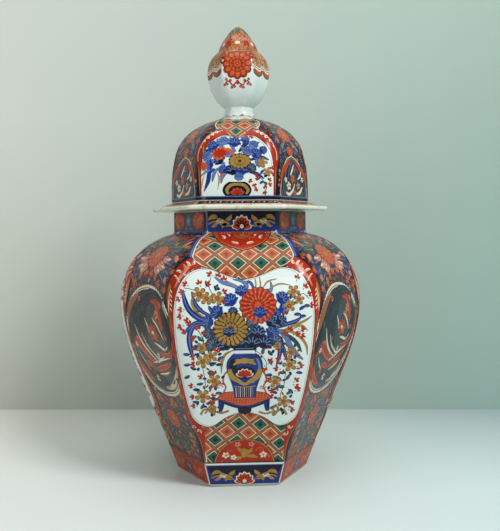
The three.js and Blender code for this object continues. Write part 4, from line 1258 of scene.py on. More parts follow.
def dome_bouquet(pen):
    """The cover's smaller bouquet, in a low bowl."""
    for colour, line in DOME_LEAVES:
        pen.edged(colour, PLANT + 1, line, 0.7, NAVY)
    for line in DOME_BLADES:
        pen.stroke(GOLD, PLANT + 1, line)
    pen.stroke(GREEN, PLANT, [(18, 30), (28, 24), (34, 14), (30, 8)], 0.8)
    pen.stroke(GREEN, PLANT, [(20, 30), (32, 30), (40, 32)], 0.8)
    for cluster in DOME_CLUSTERS:
        leaf_cluster(pen, *cluster, PLANT + 2)
    for x, y, turn in DOME_BUDS:
        bud_spray(pen, x, y, 4.8, turn, RED, PLANT + 3)
    pen.leaves(PLANT + 3, [
        (BLUE, 26, 18, 31, 21, 3.2), (NAVY, 31, 26, 36, 28, 3.2), (BLUE, 22, 22, 27, 25, 3.2),
        (GREEN, 30, 20, 35, 17, 3.2), (BLUE, 27, 30, 32, 34, 3.2), (BLUE, 33, 34, 38, 30, 3.2),
        (CORAL, -20, 26, -15, 31, 3.2), (SLATE, 31, 56, 33, 62, 3.2)], 0.1)
    blossoms(pen, PLANT + 3, [(LINE, 29, 43, 6.7), (LINE, 35.5, 32, 5.7)], LINE, 0)
    blossoms(pen, PLANT + 4, [(GOLD, 29, 43, 6), (GOLD, 35.5, 32, 5)], CORAL, 0)
    pen.blot(CORAL, PLANT + 3, -20, 54.5, 10, 7.4, lobes=10, depth=0.14, turn=25)
    pen.fan(-20, 54.5, 17.19 + np.arange(9) * 40, 8.6, 6.2, [(RED, PLANT + 4, 0, 1, 3.2)], 0.8, 0.1)
    pen.stroke(CORAL, PLANT + 4, [(-12, 60, 3), (-7, 57, 4.4), (-3, 51, 2)])
    pen.blot(CORAL, PLANT + 3, -39, 39, 4.6, 5.4, lobes=8, depth=0.16)
    pen.fan(-39, 39, 17.19 + np.arange(6) * 60, 4, 4.6, [(RED, PLANT + 4, 0, 1, 2.2)], 0.8, 0.1)
    pen.blot(LINE, PLANT + 4, 3, 45, 13.4, 9.6, lobes=14, depth=0.1)
    for turn, *mark in ((286.48, PLANT + 5, 0.5, 0.98, 3.9), (343.77, PLANT + 6, 0.16, 0.52, 1.9)):
        pen.fan(3, 45, turn + np.arange(14) * 360 / 14, 12.6, 8.8, [(GOLD, *mark)])
    pen.level(NAVY, PLANT + 4, [(4.6, -14, 13.4), (8, -16.6, 15.8), (12, -17.2, 16.4), (17, -15, 14.2),
                                (20.8, -10, 9.2)], 2)
    pen.stroke(GOLD, PLANT + 5, [(-10, 6.6, 2.4), (-12.5, 11, 3.6), (-8, 16.6, 3.8), (0, 18, 3),
                                 (8, 16.6, 3.8), (12.5, 11, 3.6), (10, 6.6, 2.4)])
    petals = (CORAL, PLANT + 6, 0, 1, 4.2), (RED, PLANT + 7, 0, 0.85, 3.2)
    pen.fan(0, 6.8, 18 + np.arange(5) * 36, 8.6, 7.4, petals)


def dome_edges(y):
    side = max(2 * DOME.half_width(y) - reach(y, DOME_REACH), 3.0)
    return -side, side


def dome_brocade(pen, seed):
    pen.level(NAVY, GROUND, [(y, *dome_edges(y)) for y in np.linspace(0.5, 124, 44)])
    scatter(pen, np.arange(6, 122, 5.6), dome_edges, np.random.default_rng(seed), inset=3.5, room=4,
            pitch=6.2, shake=1.2, size=0.85)
    for side in pen.sides():
        side.veined(FILL + 2, [(NAVY, 8, 70, 24, 66), (WASH, 6, 74, 20, 60), (GREEN, 14, 84, 30, 84),
                               (SLATE, 16, 92, 26, 100), (BLUE, 24, 78, 34, 66), (BLUE, 8, 62, 22, 56)], 5.4)
        blossom(side, 24, 72, 4, CORAL, GOLD, FILL + 3, 20)
        blossom(side, 18, 100, 3.6, PINK, GOLD, FILL + 3, 40)
    brocade_flower(pen, -1, 82, 13.5, 0.72)
    brocade_flower(pen, -1, 60, 7.5, 0.8)
    dome_medallion(pen)


def arch_rows(half, top, low=4.6):
    """Edges of a pointed arch, from its foot to its tip."""
    shares = np.linspace(0, 1, 14)
    x = half * (1 - shares**2.2) ** 0.62 + 0.25
    return np.column_stack([mix(low, top, shares), -x, x])


def dome_medallion(pen):
    """The upper part of a medallion that the dome's foot cuts off."""
    for colour, coat, half, top in ((CREAM, 1, 33.4, 54.4), (LINE, 2, 32.4, 53.2), (TAN, 3, 31.6, 52),
                                    (SLATE, 4, 30.6, 50.8)):
        pen.level(colour, FLOWER + coat, arch_rows(half, top), 1.5)
    coat = FLOWER + 5
    for side in pen.sides():
        red_leaf = [(25, 8, 5), (28, 18, 8), (26, 30, 8), (18, 40, 7), (8, 47, 3)]
        side.stroke(CORAL, coat, red_leaf)
        side.stroke(RED, coat + 1, wider(red_leaf, share=0.6))
        for band in ([(30, 6, 3), (27, 14, 7), (24, 24, 7), (19, 33, 3)],
                     [(3, 44, 4), (9, 38, 8), (13, 30, 9), (11, 22, 6), (7, 17, 2)]):
            side.edged(NAVY, coat + 2, band, 1.4)
            side.stroke(WASH, coat + 3, band, 0.9)
    for band in ([(-20, 9, 2), (-12, 7, 4), (-3, 12, 3), (2, 20, 1.5)], [(6, 8, 2), (15, 10, 4), (22, 17, 2)],
                 [(-8, 30, 1.5), (-3, 36, 3), (2, 43, 1.5)], [(10, 26, 1.5), (17, 30, 3), (20, 36, 1.2)]):
        pen.edged(CREAM, coat + 3, band, 1.2)
    blossoms(pen, coat + 4, [(CREAM, -13, 17, 5.2), (PINK, 11, 18, 4.6), (CORAL, -3, 26, 5.4),
                             (CREAM, -20, 24, 3.6), (CREAM, 22, 26, 3.4), (CORAL, 2, 9, 4.0)], RED, 9)
    blossoms(pen, coat + 4, [(RED, 4, 37, 3.6)], spin=9)
    pen.leaves(coat + 4, [(GREEN, -26, 12, -22, 20, 3.4), (GREEN, 16, 6, 24, 9, 3.4),
                          (RED, -8, 42, -4, 48, 3.4)], 0.1)


def paint_cover(ware):
    for facet in range(FACETS):
        pen = Pen(ware, DOME, facet)
        if facet in PANEL_FACETS:
            dome_panel(pen)
        else:
            dome_brocade(pen, 70 + facet)
        half = DOME.half_width(2)
        pen.band(NAVY, FIELD + 4, 0.3, 3.6, half, cell=1.5, across=1.4)
        pen.band(WASH, FIELD + 4, 3.4, 4.6, half, cell=1, across=1.4)
        paint_brim(Pen(ware, BRIM, facet), facet in PANEL_FACETS, np.random.default_rng(90 + facet))


def paint_brim(pen, is_panel, chance):
    low, top = 8.6, float(BRIM.up[-1])
    half_low, half_in = BRIM.half_width(low), BRIM.half_width(top - 1)
    pen.band(NAVY if is_panel else RED, 2, low, top - 0.8, half_low * 0.97, half_in, 1.5, 1.4)
    for x in np.linspace(-0.8, 0.8, 7) * mix(half_low, half_in, 0.5):
        pen.leaf(RED if is_panel else GREEN, 4, (x - 4, mix(low, top, 0.4)), (x + 4, mix(low, top, 0.6)), 4)
        pen.blot(GOLD, 5, x, mix(low, top, 0.5), 1.4)
        pen.leaf(CREAM, 4, (x + 5, mix(low, top, 0.3)), (x + 7, mix(low, top, 0.75)), 1.6)
    for _ in range(7):
        x, length, y = chance.uniform(-46, 42), chance.uniform(4, 13), chance.uniform(1.2, 6.4)
        colour = (TAN, GOLD, GOLD)[int(chance.integers(3))]
        pen.stroke(colour, 3, [(x, y, 0.5), (x + length / 2, y + 0.5, chance.uniform(1, 2.4)),
                               (x + length, y, 0.5)])


def paint_knob(ware):
    for facet in range(FACETS):
        pen = Pen(ware, BUD, facet)
        if facet in PANEL_FACETS:
            knob_flower(pen)
        else:
            for x in (10.2, -10.2):
                lappet(pen.moved(x))
        cap_scales(pen, facet)
        for side in Pen(ware, STEM, facet).sides():
            side.leaf(TAN, 3, (1, 3.4), (8, 5.4), 2.2, 0.1 * side.hand, 0.7)
            side.leaf(LINE, 4, (3, 3.6), (7, 4.8), 0.8)
            side.leaf(TAN, 3, (9, 3.2), (12, 4.4), 1.6)


def knob_flower(pen):
    """The large round flower on the bud, and the little spray under it."""
    head = pen.moved(0, KNOB_FLOWER_UP)
    for petal in range(12):
        spot = head.moved(turn=30 * petal)
        spot.stamp(LINE, 6, petal_shape(7.4, 19.2, 10.4, 0.6))
        spot.stamp(RED, 7, petal_shape(8.6, 18.2, 9.0, 0.55))
        spot.leaf(CORAL, 8, (9.8, 0.4), (16.8, 0.4), 5.0, 0, 0.8)
        spot.leaf(GOLD, 9, (10.6, 1.6), (13.8, 2.2), 1.1, 0, 0.8)
    for petal in range(10):
        head.moved(turn=36 * petal).stamp(RED, 10, petal_shape(4.8, 8.2, 4.0, 0.5, 3))
        head.blot(GOLD, 11, *turned(36 * petal + 18, 8.4), 0.7)
    for colour, coat, radius in ((LINE, 8, 9.8), (CORAL, 9, 9.1), (LINE, 11, 5.0), (CORAL, 12, 4.4),
                                 (RED, 13, 2.6), (GOLD, 14, 1.0)):
        head.blot(colour, coat, 0, 0, radius)
    for side in pen.sides():
        side.stroke(RED, 2, [(0, 34.5, 1.4), (2.6, 30.6, 1.7), (6.4, 28.0, 1.9), (8.6, 31.4, 1.7),
                             (12.0, 33.4, 1.7), (15.4, 30.4, 1.4)])
        for x, y in ((3.6, 26.6), (7.0, 25.6), (8.6, 34.0), (12.6, 29.8), (16.2, 28.8), (13.6, 35.4)):
            side.blot(RED, 3, x, y, 1.7, cell=1.2)
            side.blot(GOLD, 4, x, y, 0.7, cell=1.2)
    pen.blot(RED, 3, 0, 30.8, 1.9, cell=1.2)


def lappet(pen):
    """A scalloped lappet that hangs from the cap on a side without a flower."""
    for row, count in enumerate((5, 4, 4, 3, 3)):
        for place in range(count):
            x = (place - (count - 1) / 2) * 4.6
            scale_mark(pen, x, 54.5 + row * 4.2, 1 + row % 2, 1.05, PINK if (row + place) % 2 else TAN)
    for colour, coat, low, half in ((LINE, 4, 39.6, 10.0), (TAN, 5, 40.4, 9.3), (CORAL, 6, 43.4, 7.2),
                                    (PINK, 7, 46.0, 4.6)):
        outline = ((0, 1), (1.6, half * 0.62), (4.4, half * 0.92), (8.5, half))
        pen.level(colour, coat, [(low + rise, -x, x) for rise, x in outline], 1.4, 1.6)
    scallop = np.array([(-10, 54.6), (-6.5, 50.4), (0, 48.2), (6.5, 50.4), (10, 54.6)])
    pen.stroke(CREAM, 8, scallop, 5.4)
    for rise, colour in ((-2.8, RED), (0.2, LINE), (2.8, LINE)):
        pen.stroke(colour, 9, scallop + (0, rise), 0.7)


def scale_mark(pen, x, y, coat, size=1.0, heart=CORAL):
    """One overlapping scale: a pale rim round a coloured heart."""
    spot = pen.moved(x, y, 0, size)
    spot.blot(GOLD, coat, 0, 0, 2.9, 2.7, cell=2.0)
    spot.blot(heart, coat + 1, 0, 0.3, 2.1, 1.9, cell=1.6)
    spot.stroke(LINE, coat + 2, [(0, -1.2, 0.4), (0, 1.4, 0.9)])


def cap_scales(pen, facet):
    """Rows of scales up to the knob's tip."""
    chance = np.random.default_rng(40 + facet)
    tip = float(BUD.up[-1])
    rows = [(y, -BUD.half_width(y), BUD.half_width(y)) for y in np.linspace(61, tip - 0.4, 18)]
    pen.level(TAN, 1, rows, 1.6, 1.6)
    pen.blot(CREAM, 8, 0, 88, 3.4, 2.6, lobes=5, depth=0.25)
    for side in pen.sides():
        side.leaf(PINK, 8, (2, 90), (8, 97), 4.2, 0.1, 0.8)
        side.leaves(8, [(GREEN, 3, 103, 1.4, 113, 3.6), (RED, 11, 82, 9, 92, 3.4)], 0.1, 0.7)
        side.stroke(LINE, 9, [(2.6, 91), (6.6, 96)], 0.7)
    for row, y in enumerate(np.arange(62.9, tip - 4, 4.3)):
        half = BUD.half_width(y)
        count = max(1, round(2 * half / 5.4))
        for place in range(count):
            x = -half + (place + row % 2 * 0.5) * 2 * half / count
            hearts = (GREEN, TAN, GREEN, PINK, CORAL) if y > 104 else (CORAL, PINK, RED, TAN, CORAL)
            heart = RED if y < 92 and abs(x) > half * 0.7 else hearts[int(chance.integers(5))]
            if facet in BROCADE_FACETS or math.hypot(x, y - KNOB_FLOWER_UP) > KNOB_FLOWER_ROOM:
                scale_mark(pen, x, y, 2 + row % 2 * 1.5, min(1.12, half / 9 + 0.25), heart)


# Glazed bodies


def ring_points(radius, fillet, height, turn, flat_steps=8, corner_steps=12):
    """One level of a six-sided body, with flat sides and round corners."""
    fillet = min(fillet, radius)
    half_flat = (radius - fillet) * math.sin(HALF_TURN)
    middle = (radius - fillet) * math.cos(HALF_TURN) + fillet
    points = []
    for facet in range(FACETS):
        facing = math.degrees(FRONT_TURN + 2 * HALF_TURN * facet + turn)
        along = turned(facing + 90)
        centre = turned(facing + 30, radius - fillet)
        points += [turned(facing, middle) + along * half_flat * mix(-1, 1, step / flat_steps)
                   for step in range(flat_steps)]
        points += [centre + turned(facing + 60 * step / corner_steps, fillet) for step in range(corner_steps)]
    return np.column_stack([points, np.full(len(points), height)])


def levels(stations, turn=0.0):
    return [ring_points(*station, turn) for station in stations]


def skin_levels(surface, ups, flat_steps=8, corner_steps=12):
    """Levels of a glazed skin, on the very surface that its enamels lie on."""
    rings = []
    for up in ups:
        radius, fillet = surface.section(up)
        half_flat = (radius - fillet) * math.sin(HALF_TURN)
        flat = mix(-half_flat, half_flat, np.arange(flat_steps) / flat_steps)
        corner = half_flat + fillet * 2 * HALF_TURN * np.arange(corner_steps) / corner_steps
        across = np.concatenate([flat, corner])
        flat_up, no_lift = np.full(len(across), up), np.zeros(len(across))
        rings.append(np.vstack([surface.lifted(facet, across, flat_up, no_lift) for facet in range(FACETS)]))
    return rings


def loft(rings, capped=False):
    """A skin through rings of points: closed on itself like a tube, or capped at both ends."""
    around, count = len(rings[0]), len(rings)
    here = np.arange(around)
    after = (here + 1) % around
    faces = []
    for row in range(count - 1 if capped else count):
        low, high = row * around, (row + 1) % count * around
        faces.append(np.stack([low + here, low + after, high + after, high + here], -1))
    verts, faces = np.vstack(rings), np.vstack(faces)
    if not capped:
        return verts, faces
    middles = [[0, 0, ring[0, 2]] for ring in (rings[0], rings[-1])]
    foot, tip = len(verts), len(verts) + 1
    last = (count - 1) * around
    caps = [[foot, after[point], here[point]] for point in here]
    caps += [[tip, last + here[point], last + after[point]] for point in here]
    return np.vstack([verts, middles]), faces.tolist() + np.array(caps).tolist()


def piece(name, verts, faces, finish, body, slot, replaced=(), sharp=50.0):
    mesh = bpy.data.meshes.new(name)
    verts = verts * MM
    if isinstance(faces, list):
        mesh.from_pydata(verts.tolist(), [], faces)
    else:
        mesh.vertices.add(len(verts))
        mesh.vertices.foreach_set("co", verts.ravel())
        mesh.loops.add(faces.size)
        mesh.loops.foreach_set("vertex_index", faces.ravel())
        mesh.polygons.add(len(faces))
        mesh.polygons.foreach_set("loop_start", np.arange(len(faces)) * 4)
        mesh.polygons.foreach_set("loop_total", np.full(len(faces), 4))
        mesh.update(calc_edges=True)
    mesh.polygons.foreach_set("use_smooth", np.ones(len(mesh.polygons), bool))
    mesh.set_sharp_from_angle(angle=math.radians(sharp))
    mesh.materials.append(finish)
    made = bpy.data.objects.new(name, mesh)
    bpy.context.scene.collection.objects.link(made)
    if replaced:
        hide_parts(*replaced)
    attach(made, body)


def inside_of(surface, depth, least_fillet):
    """The outline of a wall's inner side, square to its outer one."""
    rows = np.column_stack([surface.radius, surface.fillet, surface.height])
    rows[:, ::2] += across_way(rows[:, ::2], depth)
    rows[:, 1] = np.maximum(rows[:, 1] - depth, least_fillet)
    return rows


def repaint(node, finish):
    """Gives one of the frame's own pieces its finish."""
    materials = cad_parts[node].data.materials
    materials.clear()
    materials.append(finish)


# Finishes


class Value:
    """Wraps a shader socket, so that maths on it is written as an expression."""

    def __init__(self, tree, socket):
        self.tree, self.socket = tree, socket

    def maths(self, operation, one, other):
        node = new_node(self.tree, "ShaderNodeMath", {"operation": operation}, i0=one, i1=other)
        return Value(self.tree, node.outputs[0])

    def __add__(self, other):
        return self.maths("ADD", self, other)

    def __radd__(self, other):
        return self.maths("ADD", other, self)

    def __sub__(self, other):
        return self.maths("SUBTRACT", self, other)

    def __rsub__(self, other):
        return self.maths("SUBTRACT", other, self)

    def __mul__(self, other):
        return self.maths("MULTIPLY", self, other)

    def __rmul__(self, other):
        return self.maths("MULTIPLY", other, self)


class Finish:
    """One material and the nodes in it."""

    def __init__(self, name):
        self.material = bpy.data.materials.new(name)
        self.material.use_nodes = True
        self.tree = self.material.node_tree
        self.shader = self.tree.nodes["Principled BSDF"]
        self.place = self.tree.nodes.new("ShaderNodeTexCoord").outputs["Object"]

    def node(self, kind, settings=None, output=0, **inputs):
        return Value(self.tree, new_node(self.tree, kind, settings, **inputs).outputs[output])

    def noise(self, per_metre, detail=3.0, roughness=0.5, stretch=None):
        spot = self.node("ShaderNodeMapping", Vector=self.place, Scale=stretch) if stretch else self.place
        return self.node("ShaderNodeTexNoise", {"noise_dimensions": "3D"}, Vector=spot, Scale=per_metre,
                         Detail=detail, Roughness=roughness)

    def between(self, value, low, high):
        """0 below low, 1 above high."""
        return self.node("ShaderNodeMapRange", {"clamp": True}, Value=value, i1=low, i2=high, i3=0.0, i4=1.0)

    def patches(self, per_metre, detail, low, high, roughness=0.5, stretch=None):
        return self.between(self.noise(per_metre, detail, roughness, stretch), low, high)

    def blend(self, share, one, other):
        return self.node("ShaderNodeMix", {"data_type": "RGBA"}, 2, i0=share, i6=one, i7=other)

    def bump(self, height, strength, distance):
        self.set(Normal=self.node("ShaderNodeBump", Height=height, Strength=strength, Distance=distance))

    def set(self, **inputs):
        for key, value in inputs.items():
            feed(self.tree, self.shader.inputs[key.replace("_", " ")], value)
        return self.material


def linear(*rgb):
    """A colour given as 0 to 255, as the eye sees it, in the renderer's linear values."""
    shares = [channel / 255 for channel in rgb]
    return (*[share / 12.92 if share <= 0.04045 else ((share + 0.055) / 1.055)**2.4 for share in shares], 1.0)


def tinted(colour, factor):
    return (*[min(1.0, channel * factor) for channel in colour[:3]], 1.0)


def glaze_finish(colours, name="white_glaze", light=None):
    """Clear glaze over porcelain, with its pools and specks. A worn one is browner in patches."""
    finish = Finish(name)
    base = light or colours.glaze
    pool = light or colours.glaze_pool
    tone = finish.blend(finish.patches(9.0, 3.0, 0.35, 0.7), tinted(base, 1), tinted(pool, 1))
    colour = finish.blend(finish.patches(45.0, 4.0, 0.3, 0.75) * 0.25, tone, tinted(base, 0.93))
    colour = finish.blend(finish.patches(700.0, 2.0, 0.77, 0.80) * 0.5, colour, linear(150, 140, 120))
    if light:
        worn = finish.patches(70.0, 5.0, 0.56, 0.72, 0.65)
        colour = finish.blend(worn * 0.75, colour, colours.brim_worn)
    finish.bump(finish.noise(55.0, 2.0) + finish.noise(160.0, 1.0) * 0.25, 0.10, 0.0012)
    return finish.set(Base_Color=colour, Roughness=0.08 + finish.noise(60.0) * 0.06, IOR=1.5)


def clay_finish(colours):
    finish = Finish("bare_clay")
    grain = finish.noise(900.0, 4.0)
    colour = finish.blend(finish.patches(60.0, 4.0, 0.3, 0.7), tinted(colours.clay, 1),
                          tinted(colours.clay, 0.82))
    finish.bump(grain, 0.4, 0.0004)
    return finish.set(Base_Color=colour, Roughness=0.7 + grain * 0.2)


def enamel_finish(name, light, dark, roughness=0.16, metallic=0.0, wash=60.0):
    """A painted colour with the uneven tone that a brush and the kiln leave."""
    finish = Finish(name)
    cloud = finish.patches(wash, 4.0, 0.3, 0.7, 0.6)
    streak = finish.patches(wash * 5, 3.0, 0.35, 0.75, 0.6, (1, 1, 0.35))
    share = finish.node("ShaderNodeClamp", Value=cloud * 0.65 + streak * 0.35)
    finish.bump(finish.noise(55.0, 2.0) + finish.noise(260.0, 2.0) * 0.3, 0.10, 0.0010)
    finish.set(Base_Color=finish.blend(share, light, dark), Roughness=roughness + streak * 0.12,
               Specular_IOR_Level=0.3)
    if metallic:
        finish.set(Metallic=finish.patches(220.0, 4.0, 0.35, 0.6) * metallic)
    return finish.material


# Each enamel's slot, its material's name, its colour's name, how much darker it pools, and how rough it is
ENAMELS = {
    BLUE: ("cobalt_ground", "cobalt_enamel", "cobalt", 0.5, 0.16),
    NAVY: ("cobalt_ground", "navy_enamel", "navy", 0.45, 0.16),
    WASH: ("cobalt_ground", "blue_wash_enamel", "blue_wash", 0.6, 0.16),
    SLATE: ("cobalt_ground", "slate_enamel", "slate", 0.5, 0.16),
    GREEN: ("cobalt_ground", "green_enamel", "green", 0.5, 0.16),
    RED: ("iron_red_enamel", "iron_red_enamel", "iron_red", 0.6, 0.2),
    CORAL: ("iron_red_enamel", "coral_enamel", "coral", 0.68, 0.2),
    PINK: ("iron_red_enamel", "pink_enamel", "pink", 0.75, 0.2),
    TAN: ("iron_red_enamel", "lattice_tan_enamel", "tan", 0.7, 0.25),
    GOLD: ("iron_red_enamel", "gold_enamel", "gold", 0.65, 0.3),
    LINE: ("iron_red_enamel", "umber_line_enamel", "umber", 0.6, 0.25),
    CREAM: ("white_glaze", "cream_enamel", "cream", 0.86, 0.16),
    WHITE: ("white_glaze", "reserve_white_glaze", "glaze", None, 0.10),
}
MADE = {}


def finishes():
    """The materials, made once for the scene."""
    if not MADE:
        colours = bpy.context.scene.jar_colours
        MADE["glaze"] = glaze_finish(colours)
        MADE["brim"] = glaze_finish(colours, "brim_glaze", colours.brim)
        MADE["clay"] = clay_finish(colours)
        for paint, (_, name, key, darker, roughness) in ENAMELS.items():
            light = getattr(colours, key)
            dark = tinted(light, darker) if darker else colours.glaze_pool
            MADE[paint] = enamel_finish(name, light, dark, roughness, 0.35 if paint == GOLD else 0.0,
                                        60.0 if darker else 12.0)
    return MADE


# Add-on


def hue(name, description, rgb):
    return FloatVectorProperty(name=name, description=description, subtype="COLOR", size=4, min=0, max=1,
                               default=linear(*rgb))


class JarColours(bpy.types.PropertyGroup):
    glaze: hue("Glaze", "White glaze", (208, 216, 211))
    glaze_pool: hue("Glaze pools", "Where the glaze lies thicker", (196, 211, 208))
    brim: hue("Brim", "The brim's warmer glaze", (208, 209, 190))
    brim_worn: hue("Worn brim", "Where the brim's glaze is brown", (146, 124, 92))
    clay: hue("Clay", "Unglazed porcelain", (196, 186, 166))
    cobalt: hue("Cobalt", "Underglaze blue", (26, 50, 126))
    navy: hue("Navy", "Darkest underglaze blue", (12, 15, 44))
    blue_wash: hue("Blue wash", "Thinner underglaze blue", (92, 120, 170))
    slate: hue("Slate", "Grey blue of the plumes", (54, 66, 70))
    iron_red: hue("Iron red", "Opaque red enamel", (168, 38, 8))
    coral: hue("Coral", "Thinner red enamel", (192, 88, 48))
    pink: hue("Pink", "Red enamel on white", (196, 128, 108))
    tan: hue("Tan", "Lattice bars", (146, 88, 50))
    gold: hue("Gold", "Fired gold", (166, 130, 60))
    green: hue("Green", "Green enamel", (28, 92, 68))
    cream: hue("Cream", "Reserved lines", (216, 206, 184))
    umber: hue("Umber", "Dark outline", (62, 34, 24))
    # Backdrop tones with painted light and shade: lightest high on the left, with painted shade to the right
    # and lower down.
    wall: hue("Wall", "Backdrop, high on the left", (202, 207, 201))
    wall_right_shade: hue("Wall right", "Backdrop, high on the right", (141, 164, 152))
    wall_low_shade: hue("Wall low", "Backdrop, low on the left", (182, 186, 174))
    wall_right_low_shade: hue("Wall right low", "Backdrop, low on the right", (143, 170, 162))
    # Floor tones with painted light and shade: lit on the left and at the front, painted shade on the right,
    # darkest by the wall on the right.
    table: hue("Table", "Floor on the left", (226, 228, 224))
    table_right_shade: hue("Table right", "Floor on the right", (192, 210, 210))
    table_far: hue("Far table", "Floor by the wall, on the left", (226, 225, 216))
    table_far_right_shade: hue("Far table right", "Floor by the wall, on the right", (146, 167, 167))


def size(name, description, default, **kind):
    return FloatProperty(name=name, description=description, default=default, **kind)


class JarSizes(bpy.types.PropertyGroup):
    wall_thickness: size("Wall", "Thickness of the jar's wall", WALL * MM, unit="LENGTH")
    camera_distance: size("Camera distance", "From the jar's axis", 0.9166, unit="LENGTH")
    camera_height: size("Camera height", "Above the table", 0.304, unit="LENGTH")
    camera_turn: size("Camera turn", "Round the jar", math.radians(-2.3), subtype="ANGLE")
    camera_pitch: size("Camera pitch", "How far it looks down", math.radians(2.72), subtype="ANGLE")
    camera_roll: size("Camera roll", "About its own line of sight", math.radians(0.6), subtype="ANGLE")
    focal_pixels: size("Focal length", "In pixels of the picture", 720.0)


class JAR_OT_glazed_wall(bpy.types.Operator):
    """Glaze the jar's six slabs and its neck as one skin, inside and out"""
    bl_idname = "jar.glazed_wall"
    bl_label = "Glazed Wall"

    def execute(self, context):
        lip = 1.6
        outer = skin_levels(JAR, JAR.up[(JAR.height >= 0.7) & (JAR.height < RIM_TOP - lip)])
        bore, bore_fillet = NECK_RADIUS - 8.1, 5.0
        edge, corner = NECK_RADIUS - GLAZE_DEPTH, NECK_FILLET - GLAZE_DEPTH
        rim = [(edge, corner, RIM_TOP - lip), (edge - 0.4, corner, RIM_TOP - 0.6),
               (edge - 1.3, corner, RIM_TOP), (bore + 1.4, bore_fillet, RIM_TOP),
               (bore + 0.4, bore_fillet, RIM_TOP - 0.6), (bore, bore_fillet, RIM_TOP - lip),
               (bore, bore_fillet, SHOULDER_TOP - 3)]
        inner = inside_of(JAR, context.scene.jar_sizes.wall_thickness / MM, 4.0)
        keep = (inner[:, 2] < SHOULDER_TOP - 8.5) & (inner[:, 2] > FOOT_TOP + 9)
        inner = inner[keep & (inner[:, 0] > bore)][::-1]
        foot_inside = (inner[-1][0] - 3.2, 4.0, FOOT_TOP + 0.4)
        start = (FOOT_RADIUS - 4.5, FOOT_FILLET, 0.9)
        skin = loft([*levels([start]), *outer, *levels([*rim, *inner, foot_inside])])
        slabs = [f"wall_slab_{side}" for side in SLAB_SIDES]
        piece("jar_glaze", *skin, finishes()["glaze"], "jar", "white_glaze", [*slabs, "neck_collar"])
        return {"FINISHED"}


class JAR_OT_foot(bpy.types.Operator):
    """Finish the bare foot ring and the floor inside it"""
    bl_idname = "jar.foot"
    bl_label = "Foot"

    def execute(self, context):
        inside = corner_radius("jar_floor") - 11.0
        outside = [(FOOT_RADIUS - 3.6, 0.0), (FOOT_RADIUS - 2.2, 0.5), (FOOT_RADIUS - 1.6, 1.4),
                   (WALL_FOOT_RADIUS - 3.0, FOOT_TOP)]
        outline = [(inside + 1.5, 4.5, 0.0), *[(radius, FOOT_FILLET, height) for radius, height in outside],
                   (inside, 4.5, FOOT_TOP), (inside, 4.5, 1.6), (inside + 0.4, 4.5, 0.6)]
        skin = loft(levels(outline))
        piece("foot_clay", *skin, finishes()["clay"], "jar", "bare_clay", ["foot_ring"], 35)
        repaint("jar_floor", finishes()["glaze"])
        return {"FINISHED"}


class JAR_OT_cover(bpy.types.Operator):
    """Glaze the cover's dome and its brim, and give its locating ring a bare clay finish"""
    bl_idname = "jar.cover"
    bl_label = "Cover"

    def execute(self, context):
        inner = inside_of(DOME, DOME_WALL, 5.0)
        foot = (DOME_RADIUS - DOME_WALL, DOME_FILLET - DOME_WALL)
        inner[0] = (*foot, BRIM_TOP - 0.6)
        ceiling, top = DOME_TOP - DOME_WALL, DOME_TOP - GLAZE_DEPTH
        start = (DOME_RADIUS - GLAZE_DEPTH, DOME_FILLET - GLAZE_DEPTH, BRIM_TOP - 0.6)
        end = [(DOME_TOP_RADIUS - GLAZE_DEPTH, DOME_TOP_FILLET - GLAZE_DEPTH, top),
               (VENT_RADIUS, VENT_RADIUS, top), (VENT_RADIUS, VENT_RADIUS, ceiling), (12.0, 12.0, ceiling)]
        skin = loft([*levels([start], COVER_TURN), *skin_levels(DOME, DOME.up[1:-1]),
                     *levels([*end, *inner[:-1][::-1]], COVER_TURN)])
        piece("dome_glaze", *skin, finishes()["glaze"], "cover", "white_glaze", ["cover_dome"])
        self.brim((*foot, BRIM_TOP - 0.5))
        repaint("cover_locating_ring", finishes()["clay"])
        return {"FINISHED"}

    def brim(self, inside):
        """The broad brim, with its rounded and slightly warped edge."""
        ring_inside = corner_radius("cover_locating_ring") - 6.0
        edge_foot = SEAT - BRIM_DROOP
        nose = BRIM_EDGE / 2
        lower = [(ring_inside, 7.0, SEAT), (NECK_RADIUS + 2.5, NECK_FILLET, SEAT),
                 (BRIM_RADIUS - nose, BRIM_FILLET, edge_foot + 0.1)]
        bend = [(BRIM_RADIUS - nose * (1 - math.sin(a)) - 0.15, BRIM_FILLET,
                 edge_foot + nose * 0.93 * (1 - math.cos(a)) + 0.1) for a in np.linspace(0.3, 2.6, 9)]
        edge = np.array(levels([*lower, *bend], COVER_TURN))
        x, y, up = edge[..., 0], edge[..., 1], edge[..., 2]
        edge[..., 2] = np.maximum(up + brim_warp(x, y), edge_foot + 0.05 * (up - edge_foot))
        upper = skin_levels(BRIM, BRIM.up[BRIM.radius < bend[-1][0] - 0.6])
        skin = loft([*edge, *upper, *levels([inside], COVER_TURN)])
        piece("brim_glaze", *skin, finishes()["brim"], "cover", "white_glaze", ["cover_brim"])


